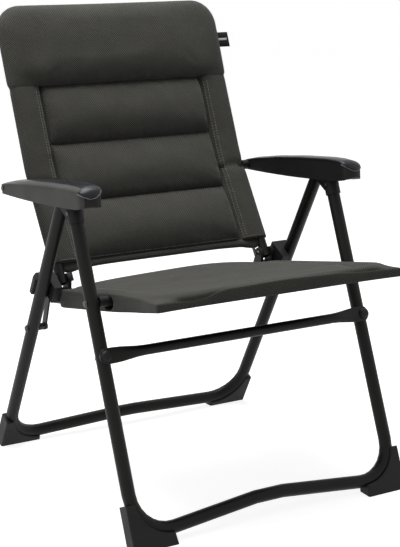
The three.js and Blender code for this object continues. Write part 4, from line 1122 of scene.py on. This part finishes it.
def surround_rear(x, up):
    """The rear: it lies close behind the padding and goes round the side tubes and the top bar."""
    tube = min(1.0, max(0.0, (abs(x) - 205) / 16))
    bar = min(1.0, max(0.0, (up - 528) / 18))
    deep = rear_depth + rear_over_tube * max(tube * tube * (3 - 2 * tube), bar * bar * (3 - 2 * bar))
    return -deep * rim_turn(to_rim(x, up), rear_round)


def surround_sag(up):
    """The head pad hangs over its lower seam, and less so near its top."""
    return 9.0 * min(1.0, max(0.0, (up - head_low) / 4)) * min(1.0, max(0.0, (head_top - up) / 90))


rim_fine = (0, 0.7, 2.2, 4.8, 8.5, 13.5)
right_columns = steps_between(band_from, band_to, grid_pitch, (0, 2.0, 5), rim_fine)
middle_columns = steps_between(-panel_half, panel_half, grid_pitch, (0, 2), (0, 2))
surround_columns = [-c for c in reversed(right_columns)] + middle_columns + right_columns
surround_lines = steps_between(panel_low, head_low, grid_pitch, (0, 1.5, 4), (0, 2, 5))
surround_lines += steps_between(head_low, head_top, grid_pitch, (0, 1.2, 3.2, 6.5), rim_fine)[1:]


def in_surround(i, j):
    """Whether a cell of the grid is part of the surround, which leaves the channels open."""
    x = (surround_columns[i] + surround_columns[i + 1]) / 2
    up = (surround_lines[j] + surround_lines[j + 1]) / 2
    return abs(x) > panel_half or up > head_low


def back_surround_shape(shape):
    """The surround as one closed pad round the channels."""
    padded_shell(shape, surround_columns, surround_lines, in_surround, rounded,
                 surround_front, surround_rear, surround_sag)


back_surround = new_piece("back_surround", back_surround_shape, cloth)
stuff(back_surround, most=0.004)
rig.ride(back_surround, "back")
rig.replaces(back_surround, "back_cushion", "back_cover")
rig.slot(back_surround, "fabric")
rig.padded(back_surround, fill=0.7)

# Rear of the back: a single stretched panel of the mesh, sewn in between the side tubes.
rear_half, rear_low, rear_high = 212.0, 34.0, 520.0
rear_columns, rear_lines = 60, 70
rear_behind, rear_bow = 7.4, 1.4


def back_rear_shape(shape):
    """The rear panel as a grid, bowed a little to the rear, with faint ripples and puckers."""
    rows = []
    for j in range(rear_lines + 1):
        up = rear_low + (rear_high - rear_low) * j / rear_lines
        row = []
        for i in range(rear_columns + 1):
            x = rear_half - 2 * rear_half * i / rear_columns
            away = min(rear_half - abs(x), up - rear_low, rear_high - up)
            ripple = noise.noise(Vector((x / 60, up / 60, 8.4))) * 1.0 * min(1, away / 40)
            pucker = noise.noise(Vector((x / 30, up / 8, 2.3))) * 0.6 * math.exp(-(away / 12) ** 2)
            row.append(on_back(x, up, -rear_behind - rear_bow * eased(away / 60) + ripple + pucker))
        rows.append(row)
    skin_over(shape, rows, closed=False)


back_rear_panel = new_piece("back_rear_panel", back_rear_shape, cloth)
settle(back_rear_panel, "SOLIDIFY", thickness=0.0016, offset=0)
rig.ride(back_rear_panel, "back")
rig.replaces(back_rear_panel, "back_cover")
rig.slot(back_rear_panel, "fabric")
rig.sheet(back_rear_panel, flat=(0.426, 0.488), held="stretched", rests_on=["back_frame_tube"])

# Lower hem of the back: the cloth is rolled round a cranked rod whose ends sit on the hinge
# pins, so its roll stays with the pins while the back leans.
back_hem_low = [(0, 20.5), (120, 20.5), (180, 18.5), (200, 14.0), (212, 11.5), (224, 15.0)]
back_hem_high, back_hem_thick, back_hem_sides = 35.0, 5.2, 16
back_hem_right = [28, 56, 84, 112, 136, 156, 172, 184, 193, 200, 206, 212, 217, 221, 224]


def back_hem_shape(shape):
    """The roll from end to end: it follows the cranked rod and is pinched at both its ends."""
    rings = []
    for x in [-s for s in reversed(back_hem_right)] + [0] + back_hem_right:
        low = between(back_hem_low, abs(x))
        at_end = abs(x) == back_hem_right[-1]
        ring = []
        for k in range(back_hem_sides):
            angle = 2 * math.pi * k / back_hem_sides
            half = (back_hem_high - low) / 2 * (0.9 if at_end else 1)
            up = (back_hem_high + low) / 2 + half * math.sin(angle)
            thick = back_hem_thick * (0.55 if at_end else 1)
            thick += 0.5 * noise.noise(Vector((x / 18, 2.2, angle)))
            ring.append(on_back(x, up, thick * math.cos(angle)))
        rings.append(ring)
    skin_over(shape, rings, caps=True)
    bmesh.ops.recalc_face_normals(shape, faces=shape.faces)


back_hem_roll = new_piece("back_hem_roll", back_hem_shape, cloth)
settle(back_hem_roll, "SUBSURF", levels=2, render_levels=2)
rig.blend(back_hem_roll, "hinge_pins", "back", tuple(on_back(0, 27, 0)), tuple(on_back(0, 35, 0)))
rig.replaces(back_hem_roll, "back_hem")
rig.slot(back_hem_roll, "fabric")

# Side tag: a folded loop of black tape in the head pad's side seam, with one plain pale stripe.
tape = coated("tag", (0.006, 0.006, 0.006), (0.010, 0.010, 0.010),
              (0.6, 0.75), grain_scale=2600, grain_depth=0.0002)
tag_heights = (464, 472, 480, 488, 496)
tag_half_loop = [(246, 0.7), (256, 0.8), (266, 0.9), (274, 0.9), (277.5, 0.5)]
tag_fold = (278.4, 0.0)


def side_tag_shape(shape):
    """The tape from the seam out along its front, round the fold and back along its rear."""
    rear_half_loop = [(x, -forward) for x, forward in reversed(tag_half_loop)]
    loop = [*tag_half_loop, tag_fold, *rear_half_loop]
    skin_over(shape, [[on_back(x, up, forward) for up in tag_heights] for x, forward in loop],
              closed=False)


tag_loop = new_piece("side_tag_loop", side_tag_shape, tape)
settle(tag_loop, "SOLIDIFY", thickness=0.0004, offset=0)
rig.ride(tag_loop, "back")
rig.replaces(tag_loop, "side_tag")
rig.slot(tag_loop, "tag")
stripe_yarn = coated("tag_stripe", (0.52, 0.52, 0.50), (0.62, 0.62, 0.60),
                     (0.7, 0.85), grain_scale=2600, grain_depth=0.0002)
stripe_heights = (477.5, 479, 481, 482.5)
stripe_line = ((249, 1.15), (256, 1.2), (263, 1.25), (270, 1.3), (273.5, 1.3))


def tag_stripe_shape(shape):
    """A plain stripe that lies on the tape's front."""
    skin_over(shape, [[on_back(x, up, forward) for up in stripe_heights] for x, forward in stripe_line],
              closed=False)


tag_stripe = new_piece("side_tag_stripe", tag_stripe_shape, stripe_yarn)
settle(tag_stripe, "SOLIDIFY", thickness=0.0003, offset=0)
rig.ride(tag_stripe, "back")
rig.slot(tag_stripe, "tag")

# Sewn lines: two rows of thick lighter thread run up beside the padded middle, one along the
# lower edge of the back, and one along each edge of the seat's panel. Each stitch is a small
# pointed bead that lies on the cloth it is sewn into.
thread = coated("stitch_thread", (0.17, 0.17, 0.15), (0.24, 0.24, 0.21),
                (0.6, 0.8), grain_scale=3000, grain_depth=0.0001)
stitch_pitch, stitch_half, stitch_thick = 0.0060, 0.0025, 0.0008
stitch_rise, cast_from, cast_reach = 0.0002, 0.03, 0.06


def lying_on(piece):
    """A piece's final faces, for finding the place of what lies on them."""
    return BVHTree.FromObject(piece, bpy.context.evaluated_depsgraph_get())


def add_stitch(shape, spot, normal, along):
    """One stitch: four sides round its middle and a point at each end."""
    run = (along - normal * along.dot(normal)).normalized()
    beside = normal.cross(run)
    middle = spot + normal * stitch_rise
    rings = []
    for at in (-0.6, 0.6):
        centre = middle + run * stitch_half * at
        rings.append([
            shape.verts.new(centre + beside * stitch_thick * a + normal * stitch_thick * b)
            for a, b in ((1, 0), (0, 1), (-1, 0), (0, -1))
        ])
    tips = [shape.verts.new(middle + run * stitch_half * at - normal * stitch_thick * 0.8) for at in (-1, 1)]
    for k in range(4):
        n = (k + 1) % 4
        shape.faces.new((rings[0][k], rings[0][n], rings[1][n], rings[1][k]))
        shape.faces.new((rings[0][n], rings[0][k], tips[0]))
        shape.faces.new((rings[1][k], rings[1][n], tips[1]))


def stitch_row(shape, cloth_under, line, outward):
    """Stitches in even steps along a line, each dropped onto the cloth."""
    left = 0.0
    for start, end in zip(line, line[1:]):
        span = (end - start).length
        along = (end - start) / span
        while left < span:
            aim = start + along * left + outward * cast_from
            spot, normal, *_ = cloth_under.ray_cast(aim, -outward, cast_reach)
            if spot is not None:
                add_stitch(shape, spot, normal, along)
            left += stitch_pitch
        left -= span


forward = (on_back(0, 300, 10) - on_back(0, 300, 0)).normalized()
surround_skin, channel_skin = lying_on(back_surround), lying_on(back_channels)
back_rows_x, cuff_row_up, low_row_up = (190.0, 196.5), 38, 37.5
sling_rows_x, sling_row_front, sling_row_rear = 202.5, -149, 210


def back_stitches_shape(shape):
    """The back's rows: two up each side, one round each cuff and one along the lower edge."""
    for side in (-1, 1):
        for x in back_rows_x:
            line = [on_back(side * x, up, 0) for up in range(44, 396, 8)]
            stitch_row(shape, surround_skin, line, forward)
        line = [on_back(side * x, cuff_row_up, 0) for x in range(192, 240, 6)]
        stitch_row(shape, surround_skin, line, forward)
    line = [on_back(x, low_row_up, 0) for x in range(-178, 179, 6)]
    stitch_row(shape, channel_skin, line, forward)
    bmesh.ops.recalc_face_normals(shape, faces=shape.faces)


back_stitches = new_piece("back_stitches", back_stitches_shape, thread)
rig.ride(back_stitches, "back")
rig.slot(back_stitches, "fabric")


def seat_stitches_shape(shape):
    """The seat's rows, one along each edge of the panel."""
    sling_skin = lying_on(seat_sling)
    upward = (on_seat(0, 0, 10) - on_seat(0, 0, 0)).normalized()
    across_xs = range(-200, 201, 8)
    stitch_row(shape, sling_skin, [on_seat(x, sling_row_rear, 0) for x in across_xs], upward)
    for side in (-1, 1):
        line = [on_seat(side * sling_rows_x, y, 0) for y in range(-148, 212, 8)]
        stitch_row(shape, sling_skin, line, upward)
    stitch_row(shape, sling_skin, [on_seat(x, sling_row_front, 0) for x in across_xs], upward)
    bmesh.ops.recalc_face_normals(shape, faces=shape.faces)


seat_stitches = new_piece("seat_stitches", seat_stitches_shape, thread)
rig.ride(seat_stitches, "seat")
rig.slot(seat_stitches, "fabric")

# Back rivets: a dark pressed rivet holds the padding to its rear panel beside each armrest. It
# has a rounded rim, a sunk ring and a raised middle.
rivet_x, rivet_up, rivet_radius, rivet_height = 190, 196, 0.0062, 0.003
rim_bevel, ring_inset, ring_sunk, middle_inset, middle_raised = 0.0011, 0.0012, 0.0008, 0.0009, 0.0006
for side, name in zip((-1, 1), pair("back_rivet")):
    spot, normal, *_ = surround_skin.ray_cast(on_back(side * rivet_x, rivet_up, 40), -forward, 0.08)
    bpy.ops.object.select_all(action="DESELECT")
    bpy.ops.mesh.primitive_cylinder_add(vertices=32, radius=rivet_radius, depth=rivet_height)
    rivet = bpy.context.object
    rivet.name = rivet.data.name = name
    bpy.ops.object.mode_set(mode="EDIT")
    bpy.ops.mesh.select_all(action="DESELECT")
    bpy.ops.object.mode_set(mode="OBJECT")
    for face in rivet.data.polygons:
        face.select = face.normal.z > 0.9
    bpy.ops.object.mode_set(mode="EDIT")
    bpy.ops.mesh.select_mode(type="FACE")
    bpy.ops.mesh.bevel(offset=rim_bevel, segments=3)
    bpy.ops.object.mode_set(mode="OBJECT")
    for face in rivet.data.polygons:
        face.select = face.normal.z > 0.99 and face.area > 0.00003
    bpy.ops.object.mode_set(mode="EDIT")
    bpy.ops.mesh.inset(thickness=ring_inset)
    bpy.ops.transform.translate(value=(0, 0, -ring_sunk))
    bpy.ops.mesh.inset(thickness=middle_inset)
    bpy.ops.transform.translate(value=(0, 0, middle_raised))
    bpy.ops.object.mode_set(mode="OBJECT")
    seated = Matrix.Translation(spot) @ normal.to_track_quat("Z", "Y").to_matrix().to_4x4()
    rivet.data.transform(seated)
    rivet.data.polygons.foreach_set("use_smooth", [True] * len(rivet.data.polygons))
    rivet.data.materials.append(moulded)
    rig.ride(rivet, "back")
    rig.slot(rivet, "moulded")

size = {"cad": [list(v) for v in cad_box], "visual": [list(v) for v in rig.bounds()]}
with open("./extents.json", "w") as f:
    json.dump(size, f)
